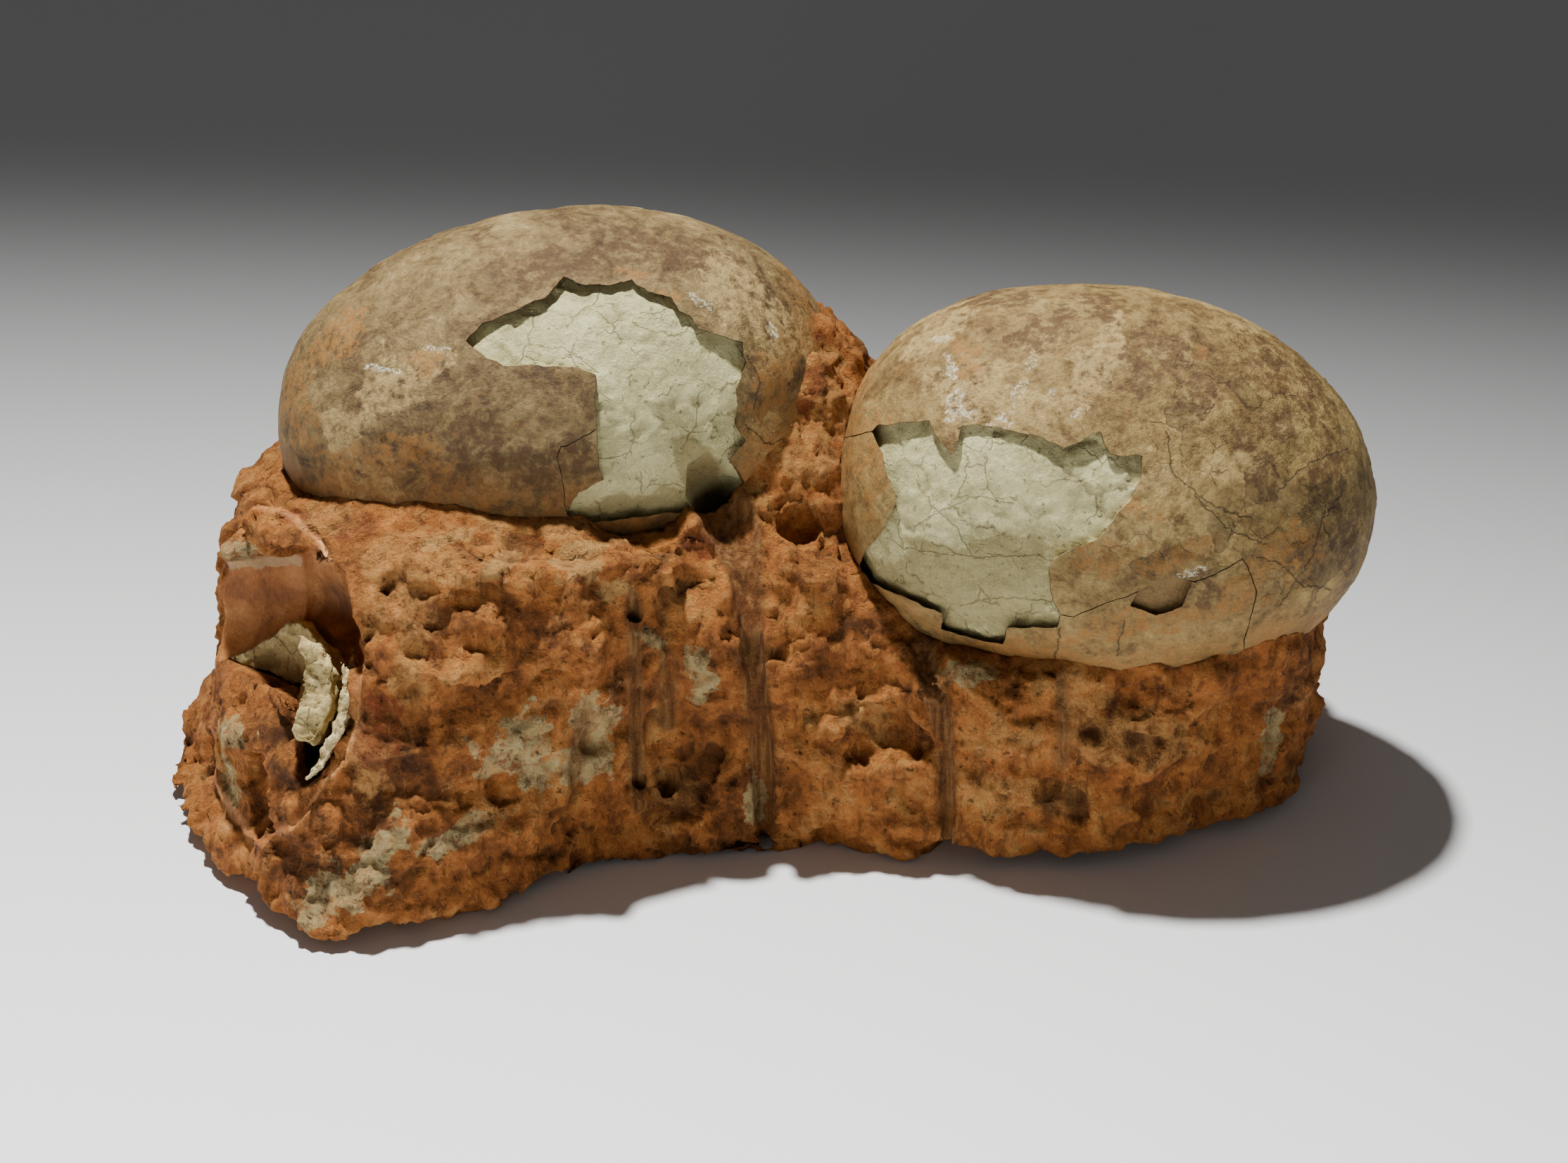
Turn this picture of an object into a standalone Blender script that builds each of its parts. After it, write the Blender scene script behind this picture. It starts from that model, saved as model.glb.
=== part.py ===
"""A fossil dinosaur egg specimen: two eggs side by side in a block of red sandstone, with the
broken end of a third egg in the block's left face.

Every piece is one closed solid in its own named object. The block stands on a flat spot in the
plane z = 0, the origin is under the middle of the block, the eggs' windows face -Y, and +X runs
from the block's left wing to its right wing.
"""

import math

import bmesh
import bpy
from mathutils import Matrix, Vector, noise
from mathutils.bvhtree import BVHTree

MM = 0.001

# Driving dimensions, in millimetres.
SHELL = 2.2  # thickness of the eggshell
GAP = 0.35  # clearance between two pieces that touch
CRACK = 0.4  # how far a broken plate stands back from its outline
PLATE_ROOM = 0.15  # how much larger than a plate's outline its place in the shell is
EGG_SEGMENTS = 24
EGG_RINGS = 12
BLOCK_VOXEL = 3.0
BLOCK_TRIANGLES = 3300
LUMPS = 3.6  # height of the rock's lumps
CHIPS = 4.4  # depth of the dents left by the chisel
STRATA = 2.0  # depth of its level ledges
WINDOW_RISE = 30.0  # the windows look to the front and up by this many degrees
FLOOR_DEPTH = 50.0
FLOOR_LENGTH = 500.0
REACH = 90.0  # how far a cutting prism reaches out in front of an egg's middle
MOULD_SPAN = (-90.0, 140.0)  # the depths, in front of the origin, that the third egg's mould opens
REMNANT_SPAN = (-90.0, 82.0)  # the depths between which something is left of the third egg

# An egg has its centre, its half-lengths (blunt end, narrow end, across, up), its turn about Z, the
# tilt of its narrow end upwards in degrees, and how square its blunt end is (2 is an ellipse).
LEFT_EGG = {
    "centre": (-61.0, 27.0, 101.0),
    "halves": (76.0, 76.5, 54.0, 51.5),
    "turn": 10.0,
    "tilt": 6.0,
    "blunt": 2.15,
}
RIGHT_EGG = {
    "centre": (86.5, 4.4, 86.0),
    "halves": (72.0, 71.5, 54.0, 54.5),
    "turn": -6.0,
    "tilt": -3.5,
    "blunt": 2.4,
}
# Only the end of the third egg is left: its mould in the block, some fill and a strip of shell.
THIRD_EGG = {
    "centre": (-171.0, -61.0, 62.0),
    "halves": (72.0, 72.0, 54.0, 52.0),
    "turn": 43.0,
    "tilt": 0.0,
    "blunt": 2.0,
}

# Outlines in the window plane, in millimetres right and up from the egg's centre.
LEFT_WINDOW = [
    (-21, 13), (-17, 17.5), (-9.5, 20.5), (-1, 24.5), (4, 30), (9, 28), (16, 28), (21.5, 29.5),
    (25.5, 26.5), (31.5, 25), (34, 21.5), (37, 20), (38.5, 17), (42.5, 15.5), (50, 13.5), (51, 8),
    (48.5, 1), (49, -2), (48, -8), (51, -12), (47, -17), (42, -24), (34, -31), (29.5, -31.3),
    (15, -33.4), (6, -34.4), (4.5, -31.5), (8, -26), (15, -22.7), (13.6, -20), (13, -9.6),
    (12.4, -4.7), (12.7, 4), (7.3, 6), (-1.3, 6.6), (-11.3, 6.5), (-16.2, 9),
]
LEFT_CORNER_PLATE = [
    (13, -9.6), (8, -12.5), (3.5, -14.5), (2.4, -17.3), (3.7, -22.7), (4.5, -31.5), (8, -26),
    (15, -22.7), (13.6, -20),
]
RIGHT_WINDOW = [
    (-63.5, 14.5), (-62, 16), (-49, 16.7), (-47.7, 12.6), (-43.5, 7.7), (-42, 10.7), (-41, 15.4),
    (-34, 15), (-25.7, 13), (-21, 12), (-15.5, 9.2), (-12.5, 10.2), (-6.4, 13.5), (-3.8, 7.4),
    (4.4, 7.2), (4.3, 3.6), (2, -3.2), (-1.9, -7.1), (-4.6, -11.9), (-8.5, -14.7), (-13.2, -16.1),
    (-17.9, -19.2), (-19, -22.6), (-17.5, -29.4), (-15.8, -33.2), (-16.2, -36.3), (-29.1, -36.6),
    (-29.7, -40.8), (-37.1, -39.4), (-45, -37), (-45, -33), (-50, -31), (-54.8, -28.4),
    (-60.8, -26), (-66.5, -23), (-65, -16.4), (-61.1, -12.6), (-57.1, -3.8), (-57.8, -1.8),
    (-59.7, 3.1), (-61.1, 9.2),
]
RIGHT_SIDE_FLAP = [
    (-63.5, 14.5), (-61.1, 9.2), (-59.7, 3.1), (-57.8, -1.8), (-57.1, -3.8), (-61.1, -12.6),
    (-65, -16.4), (-66.5, -23), (-85, -23), (-85, 11),
]
RIGHT_LOWER_BAND = [
    (-85, -23), (-66.5, -23), (-60.8, -26), (-54.8, -28.4), (-50, -31), (-45, -33), (-45, -37),
    (-37.1, -39.4), (-29.7, -40.8), (-29.1, -36.6), (-16.2, -36.3), (-15.8, -33.2), (-12.4, -33.7),
    (-7.8, -31.7), (-2, -29.4), (5.5, -26.3), (11.3, -22.6), (18.3, -24.9), (25, -22), (31, -18.5),
    (35, -27), (33, -40), (37, -70), (-85, -70),
]
RIGHT_CHIP = [(3.5, -27.5), (11, -22.5), (17.5, -25), (15.5, -31), (9, -33.5), (2, -31)]

# Outlines in a window plane through the origin, in millimetres right and up from the origin.
THIRD_MOULD = [
    (-168, 57), (-152, 58), (-125, 60.5), (-115, 55.5), (-111, 47.5), (-109, 39), (-109, 31),
    (-110, 23), (-112, 15), (-117, 5), (-122, -1), (-125.5, 2), (-126, 10), (-129, 22), (-145, 29),
    (-165, 31),
]
THIRD_FILL_REMNANT = [
    (-149, 31), (-144, 33), (-140, 36), (-136, 37), (-133, 40), (-129, 41.5), (-125, 39.5), (-122, 36),
    (-118.5, 34), (-115.5, 28), (-116, 20), (-119.5, 11.5), (-121.5, 9.5), (-125.2, 12), (-128, 24),
]
THIRD_SHELL_STRIP = [
    (-114.5, 34.5), (-111.5, 28), (-111, 20), (-113, 13), (-118, 5), (-122, 1), (-124.5, 3),
    (-119.5, 9), (-115.5, 15), (-114.3, 22), (-114.8, 30),
]

# The block is a pile of boulders, each the convex hull of its corners.
LEFT_WING = [
    (-112, -88, 2), (-124, -87, 2), (-138, -72, 2), (-154, -42, 2), (-159, -20, 2), (-159, 0, 3),
    (-156, 40, 4), (-142, 78, 5), (-96, 90, 5), (-30, 88, 5), (0, 50, 4), (-36, -36, 2), (-50, -46, 2),
    (-68, -61, 2), (-94, -78, 2), (-118, -69, 30), (-156, -12, 30), (-153, 20, 60),
    (-124, -42, 89), (-108, -46, 91), (-92, -48, 92), (-70, -48, 93), (-48, -45, 90),
    (-30, -36, 86), (-118, -16, 97), (-93, -26, 100), (-72, -28, 97), (-146, 10, 74),
    (-144, 45, 77), (-112, 82, 88), (-40, 86, 92), (-6, 64, 98), (-10, 0, 92),
]
LEFT_FOOT = [
    (-138, -74, 2), (-156, -50, 2), (-167, -25, 2), (-171, 0, 3), (-166, 34, 4), (-140, 60, 4),
    (-100, -40, 2), (-130, -66, 12), (-152, -44, 12), (-163, -20, 12), (-165, 4, 13),
    (-158, 30, 18), (-140, 50, 24), (-110, 0, 24),
]
MIDDLE = [
    (-40, -35, 2), (-12, -31, 4), (14, -27, 4), (30, -37, 3), (54, -49, 2), (60, 66, 4), (-20, 80, 4),
    (-12, -36, 24), (14, -34, 24), (30, -40, 24),
    (-40, -34, 80), (-26, -25, 88), (-8, -21, 86), (10, -20, 74), (22, -23, 64), (40, -27, 56),
    (60, 0, 60), (60, 64, 68), (-20, 78, 88), (12, 72, 80),
]
RIGHT_WING = [
    (30, -43, 2), (54, -51, 2), (84, -51, 2), (104, -41, 2), (124, -29, 2), (141, -20, 2),
    (146, 2, 3), (146, 32, 5), (130, 57, 5), (80, 71, 5), (10, 77, 5), (0, 40, 4),
    (34, -40, 52), (56, -47, 56), (84, -48, 59), (112, -45, 63), (137, -32, 64), (146, -6, 60),
    (148, 25, 64), (127, 55, 70), (80, 67, 74), (20, 68, 84), (20, -18, 60),
]
SADDLE = [
    (-20, -18, 80), (2, -16, 84), (12, -12, 84), (17, -2, 92), (20, 8, 101), (22, 29, 110),
    (25, 45, 102), (20, 66, 90), (-6, 72, 100), (2, 48, 127), (7, 34, 132), (9, 22, 125),
    (0, 2, 112), (-8, -8, 100), (-20, 60, 60), (30, 50, 60), (26, -10, 60), (-20, 0, 60),
]
SHOULDER_LUMP = [
    (-154, -4, 66), (-131, -38, 76), (-112, -40, 80), (-112, 20, 80), (-148, 34, 72),
    (-145, 0, 82), (-137, -14, 90), (-124, -20, 94), (-130, 20, 88), (-139, 22, 82),
]
BELLY = [
    (-122, -56, -4), (-128, 10, -4), (-104, 60, -4), (-10, 50, -4), (104, 46, -4), (114, 0, -4),
    (60, -34, -4), (20, -24, -4), (-34, -26, -4), (-90, -56, -4),
    (-135, -55, 20), (-145, 60, 20), (120, 50, 20), (120, -20, 20), (0, -20, 20),
]

# The marks of the drill that freed the block, as points in the same plane through the origin, each
# with the groove's half-width. They lie on the block's and the left egg's surface.
DRILL_GROOVES = [
    [(-21, 83, 4.5), (-18.5, 77, 8), (-13, 66, 7.5), (-10, 56, 4.5), (-8.5, 38, 3.8), (-7, 20, 3.6),
     (-5.5, 4, 3.4), (-5, -8, 2.8)],
    [(36, 35, 3.4), (40, 20, 2.8), (42.5, 5, 2.6), (44, -13, 2.4)],
    [(72, 28, 1.6), (73, 4, 1.6)],
    [(-52, 20, 2.2), (-55, 0, 2.2)],
    [(-30, 32, 2.2), (-31, 14, 2.2)],
    [(-39, 48, 2), (-38.5, -8, 2)],
]
# Pits in the same plane: right, up, half-width, half-height, half-depth.
PITS = [
    (5, 66, 6, 7, 6), (-14.5, 38, 3, 3, 3), (-79, 47, 7, 5, 5), (-137, -4, 9, 13, 8),
    (-50, 9, 5, 3, 3), (71, -4, 6, 3, 3), (90, 20, 7, 4, 4), (20, 6, 6, 4, 4), (-72, -2, 6, 4, 4),
]

ROCK = ("red_sandstone", (0.42, 0.17, 0.06), 0.95)
EGGSHELL = ("eggshell", (0.40, 0.31, 0.20), 0.7)
FILL = ("grey_green_fill", (0.44, 0.44, 0.34), 0.95)


def clear_scene():
    for obj in list(bpy.data.objects):
        bpy.data.objects.remove(obj)
    for collection in list(bpy.data.collections):
        bpy.data.collections.remove(collection)


def new_collection(name):
    collection = bpy.data.collections.new(name)
    bpy.context.scene.collection.children.link(collection)
    return collection


def new_material(name, colour, roughness):
    material = bpy.data.materials.new(name)
    material.use_nodes = True
    shader = material.node_tree.nodes["Principled BSDF"]
    shader.inputs["Base Color"].default_value = (*colour, 1.0)
    shader.inputs["Roughness"].default_value = roughness
    shader.inputs["Metallic"].default_value = 0.0
    return material


def in_mm(point):
    return Vector(point) * MM


def take_object(obj, name, collection):
    """Name the object and move it from the scene's own collection to this one."""
    obj.name = name
    obj.data.name = name
    for home in list(obj.users_collection):
        home.objects.unlink(obj)
    collection.objects.link(obj)
    if collection.name == "cutters":
        obj.hide_render = True
        obj.display_type = "WIRE"
    return obj


def object_from_bmesh(bm, name, collection):
    mesh = bpy.data.meshes.new(name)
    bm.to_mesh(mesh)
    bm.free()
    obj = bpy.data.objects.new(name, mesh)
    bpy.context.scene.collection.objects.link(obj)
    return take_object(obj, name, collection)


def mesh_from_curve(curve_object, name, collection):
    """A closed mesh object in place of a curve object."""
    evaluated = curve_object.evaluated_get(bpy.context.evaluated_depsgraph_get())
    mesh = bpy.data.meshes.new_from_object(evaluated)
    mesh.transform(curve_object.matrix_world)
    bpy.data.objects.remove(curve_object)
    bm = bmesh.new()
    bm.from_mesh(mesh)
    bmesh.ops.remove_doubles(bm, verts=bm.verts, dist=0.01 * MM)
    bmesh.ops.recalc_face_normals(bm, faces=bm.faces)
    bpy.data.meshes.remove(mesh)
    return object_from_bmesh(bm, name, collection)


def apply_modifier(obj, kind, **settings):
    modifier = obj.modifiers.new(kind.title(), kind)
    for key, value in settings.items():
        setattr(modifier, key, value)
    bpy.ops.object.select_all(action="DESELECT")
    bpy.context.view_layer.objects.active = obj
    bpy.ops.object.modifier_apply(modifier=modifier.name)


def boolean(obj, operation, other):
    apply_modifier(obj, "BOOLEAN", operation=operation, object=other)


def keep_largest(obj):
    """Delete the crumbs that a cut leaves, so that the object is one body."""
    bm = bmesh.new()
    bm.from_mesh(obj.data)
    islands = []
    unseen = set(bm.verts)
    while unseen:
        island = []
        edge_of_search = [unseen.pop()]
        while edge_of_search:
            vertex = edge_of_search.pop()
            island.append(vertex)
            for edge in vertex.link_edges:
                neighbour = edge.other_vert(vertex)
                if neighbour in unseen:
                    unseen.remove(neighbour)
                    edge_of_search.append(neighbour)
        islands.append(island)
    islands.sort(key=len, reverse=True)
    crumbs = [vertex for island in islands[1:] for vertex in island]
    bmesh.ops.delete(bm, geom=crumbs, context="VERTS")
    bm.to_mesh(obj.data)
    bm.free()


def hull(corners, name, collection):
    bm = bmesh.new()
    for corner in corners:
        bm.verts.new(in_mm(corner))
    bmesh.ops.convex_hull(bm, input=bm.verts)
    inner = [vertex for vertex in bm.verts if not vertex.link_faces]
    bmesh.ops.delete(bm, geom=inner, context="VERTS")
    bmesh.ops.recalc_face_normals(bm, faces=bm.faces)
    return object_from_bmesh(bm, name, collection)


def window_point(right, up, out=0.0):
    """The point at these millimetres in the window plane through the origin, and in front of it."""
    rise = math.radians(WINDOW_RISE)
    along_up = Vector((0, math.sin(rise), math.cos(rise)))
    outward = Vector((0, -math.cos(rise), math.sin(rise)))
    return (Vector((right, 0, 0)) + up * along_up + out * outward) * MM


def surface_point(trees, right, up):
    """Where the foremost of these surfaces is, straight behind a point of the window plane."""
    start = window_point(right, up, 400)
    inward = (window_point(right, up) - start).normalized()
    hits = [tree.ray_cast(start, inward) for tree in trees]
    distance, place = min((hit[3], hit[0]) for hit in hits if hit[0] is not None)
    return place


def tree_of(obj):
    return BVHTree.FromObject(obj, bpy.context.evaluated_depsgraph_get())


def pit_cutter(trees, pit, name, collection):
    right, up, half_width, half_height, half_depth = pit
    bpy.ops.mesh.primitive_uv_sphere_add(segments=8, ring_count=6, radius=1.0)
    obj = take_object(bpy.context.object, name, collection)
    outward = Matrix.Rotation(math.radians(90 - WINDOW_RISE), 4, "X")
    size = Matrix.Diagonal((*in_mm((half_width, half_height, half_depth)), 1.0))
    obj.data.transform(Matrix.Translation(surface_point(trees, right, up)) @ outward @ size)
    return obj


def egg_solid(egg, grow, name, collection):
    """The egg as one solid, grown outwards by this many millimetres (shrunk if negative)."""
    bpy.ops.mesh.primitive_uv_sphere_add(segments=EGG_SEGMENTS, ring_count=EGG_RINGS, radius=1.0)
    obj = take_object(bpy.context.object, name, collection)
    obj.data.transform(Matrix.Rotation(math.radians(90), 4, "Y"))
    blunt_end, narrow_end, across, up = (half + grow for half in egg["halves"])
    for vertex in obj.data.vertices:
        direction = vertex.co.normalized()
        along = blunt_end if direction.x < 0 else narrow_end
        power = 2 + (egg["blunt"] - 2) * max(0.0, -direction.x) ** 0.5
        side = math.hypot(direction.y / across, direction.z / up)
        reach = (abs(direction.x / along) ** power + side**power) ** (-1 / power)
        vertex.co = direction * reach * MM
    turn = Matrix.Rotation(math.radians(egg["turn"]), 4, "Z")
    tilt = Matrix.Rotation(math.radians(-egg["tilt"]), 4, "Y")
    obj.data.transform(Matrix.Translation(in_mm(egg["centre"])) @ turn @ tilt)
    return obj


def inset(outline, distance):
    """The closed outline with each of its sides moved inwards by this distance."""
    points = [Vector(point) for point in outline]
    area = sum(a.x * b.y - b.x * a.y for a, b in zip(points, points[1:] + points[:1]))
    inward = 1 if area > 0 else -1
    moved = []
    for before, point, after in zip(points[-1:] + points[:-1], points, points[1:] + points[:1]):
        arriving = (point - before).normalized()
        leaving = (after - point).normalized()
        normal = Vector((-arriving.y - leaving.y, arriving.x + leaving.x)).normalized() * inward
        side_normal = Vector((-arriving.y, arriving.x)) * inward
        stretch = 1 / max(0.5, normal.dot(side_normal))
        moved.append(point + normal * distance * stretch)
    return moved


def window_prism(outline, centre, span, name, collection):
    """A prism over the outline, between two distances in front of the centre."""
    start, end = span
    curve = bpy.data.curves.new(name, "CURVE")
    curve.dimensions = "2D"
    curve.fill_mode = "BOTH"
    curve.extrude = (end - start) / 2 * MM
    spline = curve.splines.new("POLY")
    spline.points.add(len(outline) - 1)
    for spline_point, (right, up) in zip(spline.points, outline):
        spline_point.co = (right * MM, up * MM, 0, 1)
    spline.use_cyclic_u = True
    obj = bpy.data.objects.new(name, curve)
    collection.objects.link(obj)
    outward = Matrix.Rotation(math.radians(90 - WINDOW_RISE), 4, "X")
    middle = Matrix.Translation((0, 0, (end + start) / 2 * MM))
    obj.matrix_world = Matrix.Translation(in_mm(centre)) @ outward @ middle
    bpy.context.view_layer.update()
    return mesh_from_curve(obj, name, collection)


def groove_cutter(trees, points, name, collection):
    """A round bar along the points, which lie on the foremost of the surfaces."""
    curve = bpy.data.curves.new(name, "CURVE")
    curve.dimensions = "3D"
    curve.bevel_depth = MM
    curve.bevel_resolution = 1
    curve.use_fill_caps = True
    spline = curve.splines.new("POLY")
    spline.points.add(len(points) - 1)
    places = [surface_point(trees, right, up) for right, up, _ in points[:-1]]
    # The last point hangs below the block, so that the groove runs out at its foot.
    right, up, _ = points[-1]
    foot = window_point(right, up)
    foot.y = places[-1].y
    places.append(foot)
    for spline_point, place, (_, _, radius) in zip(spline.points, places, points):
        spline_point.co = (*place, 1)
        spline_point.radius = radius
    obj = bpy.data.objects.new(name, curve)
    collection.objects.link(obj)
    bpy.context.view_layer.update()
    return mesh_from_curve(obj, name, collection)


def roughen(obj):
    """Give the rock its lumps, ledges and chisel dents."""
    bm = bmesh.new()
    bm.from_mesh(obj.data)
    bm.normal_update()
    moves = []
    for vertex in bm.verts:
        place = vertex.co / MM
        lumps = noise.fractal(place / 24, 1.0, 2.0, 3)
        cells, _ = noise.voronoi(Vector((place.x / 17, place.y / 17, place.z / 12)))
        chips = cells[1] - cells[0]
        strata = noise.noise(Vector((place.x / 60, place.y / 60, place.z / 9)))
        moves.append(vertex.normal * (LUMPS * lumps + CHIPS * (chips - 0.25) + STRATA * strata))
    for vertex, move in zip(bm.verts, moves):
        vertex.co += move * MM
    bm.to_mesh(obj.data)
    bm.free()


def make_rock(parts, cutters):
    """The block before anything is cut out of it."""
    boulders = [LEFT_WING, LEFT_FOOT, MIDDLE, RIGHT_WING, SADDLE, SHOULDER_LUMP, BELLY]
    block = hull(boulders[0], "sandstone_block", parts)
    for number, corners in enumerate(boulders[1:]):
        boolean(block, "UNION", hull(corners, f"boulder_{number}", cutters))
    apply_modifier(block, "REMESH", mode="VOXEL", voxel_size=BLOCK_VOXEL * MM)
    apply_modifier(block, "SMOOTH", factor=0.5, iterations=2)
    roughen(block)
    apply_modifier(block, "DECIMATE", ratio=BLOCK_TRIANGLES / (2 * len(block.data.polygons)))
    bpy.ops.mesh.primitive_cube_add(size=1.0)
    floor = take_object(bpy.context.object, "floor", cutters)
    floor.data.transform(Matrix.Translation((0, 0, -FLOOR_DEPTH / 2 * MM)) @ Matrix.Diagonal(
        (FLOOR_LENGTH * MM, FLOOR_LENGTH * MM, FLOOR_DEPTH * MM, 1)))
    boolean(block, "DIFFERENCE", floor)
    return block


def cut_block(block, grooves, pits, cutters):
    """Cut the eggs' sockets, the third egg's mould, the drill grooves and the pits."""
    for egg, name in ((LEFT_EGG, "left_socket"), (RIGHT_EGG, "right_socket")):
        boolean(block, "DIFFERENCE", egg_solid(egg, GAP, name, cutters))
    mould = egg_solid(THIRD_EGG, GAP, "third_mould", cutters)
    opening = window_prism(THIRD_MOULD, (0, 0, 0), MOULD_SPAN, "mould_opening", cutters)
    boolean(mould, "INTERSECT", opening)
    boolean(block, "DIFFERENCE", mould)
    for cutter in grooves + pits:
        boolean(block, "DIFFERENCE", cutter)
    keep_largest(block)


def make_shell(egg, window, plates, name, parts, cutters):
    """The eggshell with its window and the places of its broken plates cut out."""
    shell = egg_solid(egg, 0, name, parts)
    boolean(shell, "DIFFERENCE", egg_solid(egg, -SHELL, f"{name}_inside", cutters))
    outlines = [window] + [inset(plate, -PLATE_ROOM) for plate in plates]
    for number, outline in enumerate(outlines):
        prism = window_prism(outline, egg["centre"], (0, REACH), f"{name}_opening_{number}", cutters)
        boolean(shell, "DIFFERENCE", prism)
    keep_largest(shell)
    return shell


def make_plate(egg, outline, name, parts, cutters):
    """A broken plate of eggshell, a crack's width smaller than its place."""
    plate = egg_solid(egg, 0, name, parts)
    span = (CRACK, REACH)
    prism = window_prism(inset(outline, CRACK), egg["centre"], span, f"{name}_outline", cutters)
    boolean(plate, "INTERSECT", prism)
    boolean(plate, "DIFFERENCE", egg_solid(egg, -SHELL, f"{name}_inside", cutters))
    keep_largest(plate)
    return plate


def make_layer_remnant(egg, outline, outer, inner, name, parts, cutters):
    """What is left of one layer of an egg, between two depths below its outer surface."""
    remnant = egg_solid(egg, -outer, name, parts)
    prism = window_prism(outline, (0, 0, 0), REMNANT_SPAN, f"{name}_outline", cutters)
    boolean(remnant, "INTERSECT", prism)
    boolean(remnant, "DIFFERENCE", egg_solid(egg, -inner, f"{name}_inside", cutters))
    keep_largest(remnant)
    return remnant


def main():
    clear_scene()
    parts = new_collection("fossil_egg_block")
    cutters = new_collection("cutters")
    rock, eggshell, fill = (new_material(*look) for look in (ROCK, EGGSHELL, FILL))
    block = make_rock(parts, cutters)
    left_egg = egg_solid(LEFT_EGG, 0, "left_egg", cutters)
    trees = [tree_of(block), tree_of(left_egg)]
    grooves = [
        groove_cutter(trees, points, f"groove_{number}", cutters)
        for number, points in enumerate(DRILL_GROOVES)
    ]
    pits = [pit_cutter(trees[:1], pit, f"pit_{number}", cutters) for number, pit in enumerate(PITS)]
    cut_block(block, grooves, pits, cutters)
    block.data.materials.append(rock)

    left_shell = make_shell(
        LEFT_EGG, LEFT_WINDOW, [LEFT_CORNER_PLATE], "left_eggshell", parts, cutters
    )
    right_plates = [RIGHT_SIDE_FLAP, RIGHT_LOWER_BAND, RIGHT_CHIP]
    right_shell = make_shell(RIGHT_EGG, RIGHT_WINDOW, right_plates, "right_eggshell", parts, cutters)
    corner = make_plate(LEFT_EGG, LEFT_CORNER_PLATE, "left_corner_plate", parts, cutters)
    flap = make_plate(RIGHT_EGG, RIGHT_SIDE_FLAP, "right_side_flap", parts, cutters)
    band = make_plate(RIGHT_EGG, RIGHT_LOWER_BAND, "right_lower_band", parts, cutters)
    chip = window_prism(RIGHT_CHIP, RIGHT_EGG["centre"], (0, REACH), "right_chip", cutters)
    boolean(band, "DIFFERENCE", chip)
    keep_largest(band)
    strip = make_layer_remnant(
        THIRD_EGG, THIRD_SHELL_STRIP, 0, SHELL + 2, "third_shell_strip", parts, cutters
    )
    for obj in (left_shell, right_shell, corner, flap, band, strip):
        obj.data.materials.append(eggshell)

    left_fill = egg_solid(LEFT_EGG, -SHELL - GAP, "left_fill", parts)
    right_fill = egg_solid(RIGHT_EGG, -SHELL - GAP, "right_fill", parts)
    remnant = make_layer_remnant(
        THIRD_EGG, THIRD_FILL_REMNANT, SHELL + 2 * GAP, SHELL + 12, "third_fill_remnant", parts, cutters
    )
    for obj in (left_shell, left_fill):
        boolean(obj, "DIFFERENCE", grooves[0])
        keep_largest(obj)
    for obj in (left_fill, right_fill, remnant):
        obj.data.materials.append(fill)
    for obj in parts.objects:
        obj.data.shade_smooth()
        obj.data.set_sharp_from_angle(angle=math.radians(35))


main()
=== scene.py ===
"""The fossil egg block's looks: dense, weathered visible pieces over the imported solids."""

import math

import bmesh
import bpy
import numpy as np
from mathutils import Matrix, Vector, noise
from mathutils.bvhtree import BVHTree


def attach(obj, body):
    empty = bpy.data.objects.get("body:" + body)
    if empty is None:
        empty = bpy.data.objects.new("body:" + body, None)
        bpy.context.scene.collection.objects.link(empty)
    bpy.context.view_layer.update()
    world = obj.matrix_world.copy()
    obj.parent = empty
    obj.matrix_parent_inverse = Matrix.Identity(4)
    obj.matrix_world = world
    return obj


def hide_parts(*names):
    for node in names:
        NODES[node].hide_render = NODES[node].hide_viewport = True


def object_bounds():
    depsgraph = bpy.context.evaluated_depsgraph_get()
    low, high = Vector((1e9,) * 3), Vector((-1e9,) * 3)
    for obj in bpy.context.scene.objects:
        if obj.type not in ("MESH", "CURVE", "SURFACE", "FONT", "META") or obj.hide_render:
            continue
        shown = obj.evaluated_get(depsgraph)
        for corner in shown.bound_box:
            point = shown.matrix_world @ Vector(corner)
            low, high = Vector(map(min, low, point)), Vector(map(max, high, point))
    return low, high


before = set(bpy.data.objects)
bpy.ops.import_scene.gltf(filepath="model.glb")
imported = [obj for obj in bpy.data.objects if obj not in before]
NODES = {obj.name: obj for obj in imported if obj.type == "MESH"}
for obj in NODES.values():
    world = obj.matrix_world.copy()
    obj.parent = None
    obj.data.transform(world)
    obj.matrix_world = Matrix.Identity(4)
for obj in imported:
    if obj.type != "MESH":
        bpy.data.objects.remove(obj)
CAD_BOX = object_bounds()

MM = 0.001

# --- Dimensions, in millimetres, the same as the solids' ---------------------------------------

SHELL = 2.2
CRACK = 0.25  # how far a broken plate stands back from its outline
RISE = math.radians(30)  # the windows look to the front and up by this angle
REACH = 90.0  # how far out from an egg's centre its cutters go
ROCK_FRONT = 56  # how far out of the window plane the rock's front is at the wide groove

# How the visible surfaces are made.
EGG_DETAIL = 7  # subdivisions of an egg's outer surface
INSIDE_DETAIL = 5  # and of the shell's inner one
ROCK_CELL = 1.15  # the size of the rock's faces before they are thinned
ROCK_FACES = 185000  # at most this many triangles are kept
BACK_WEIGHT = 0.6  # how much of the thinning goes to the back, with 1 for what is hidden
FILL_REACH = 7.0  # the rock closes up to the third egg's fill from this far away

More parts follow.
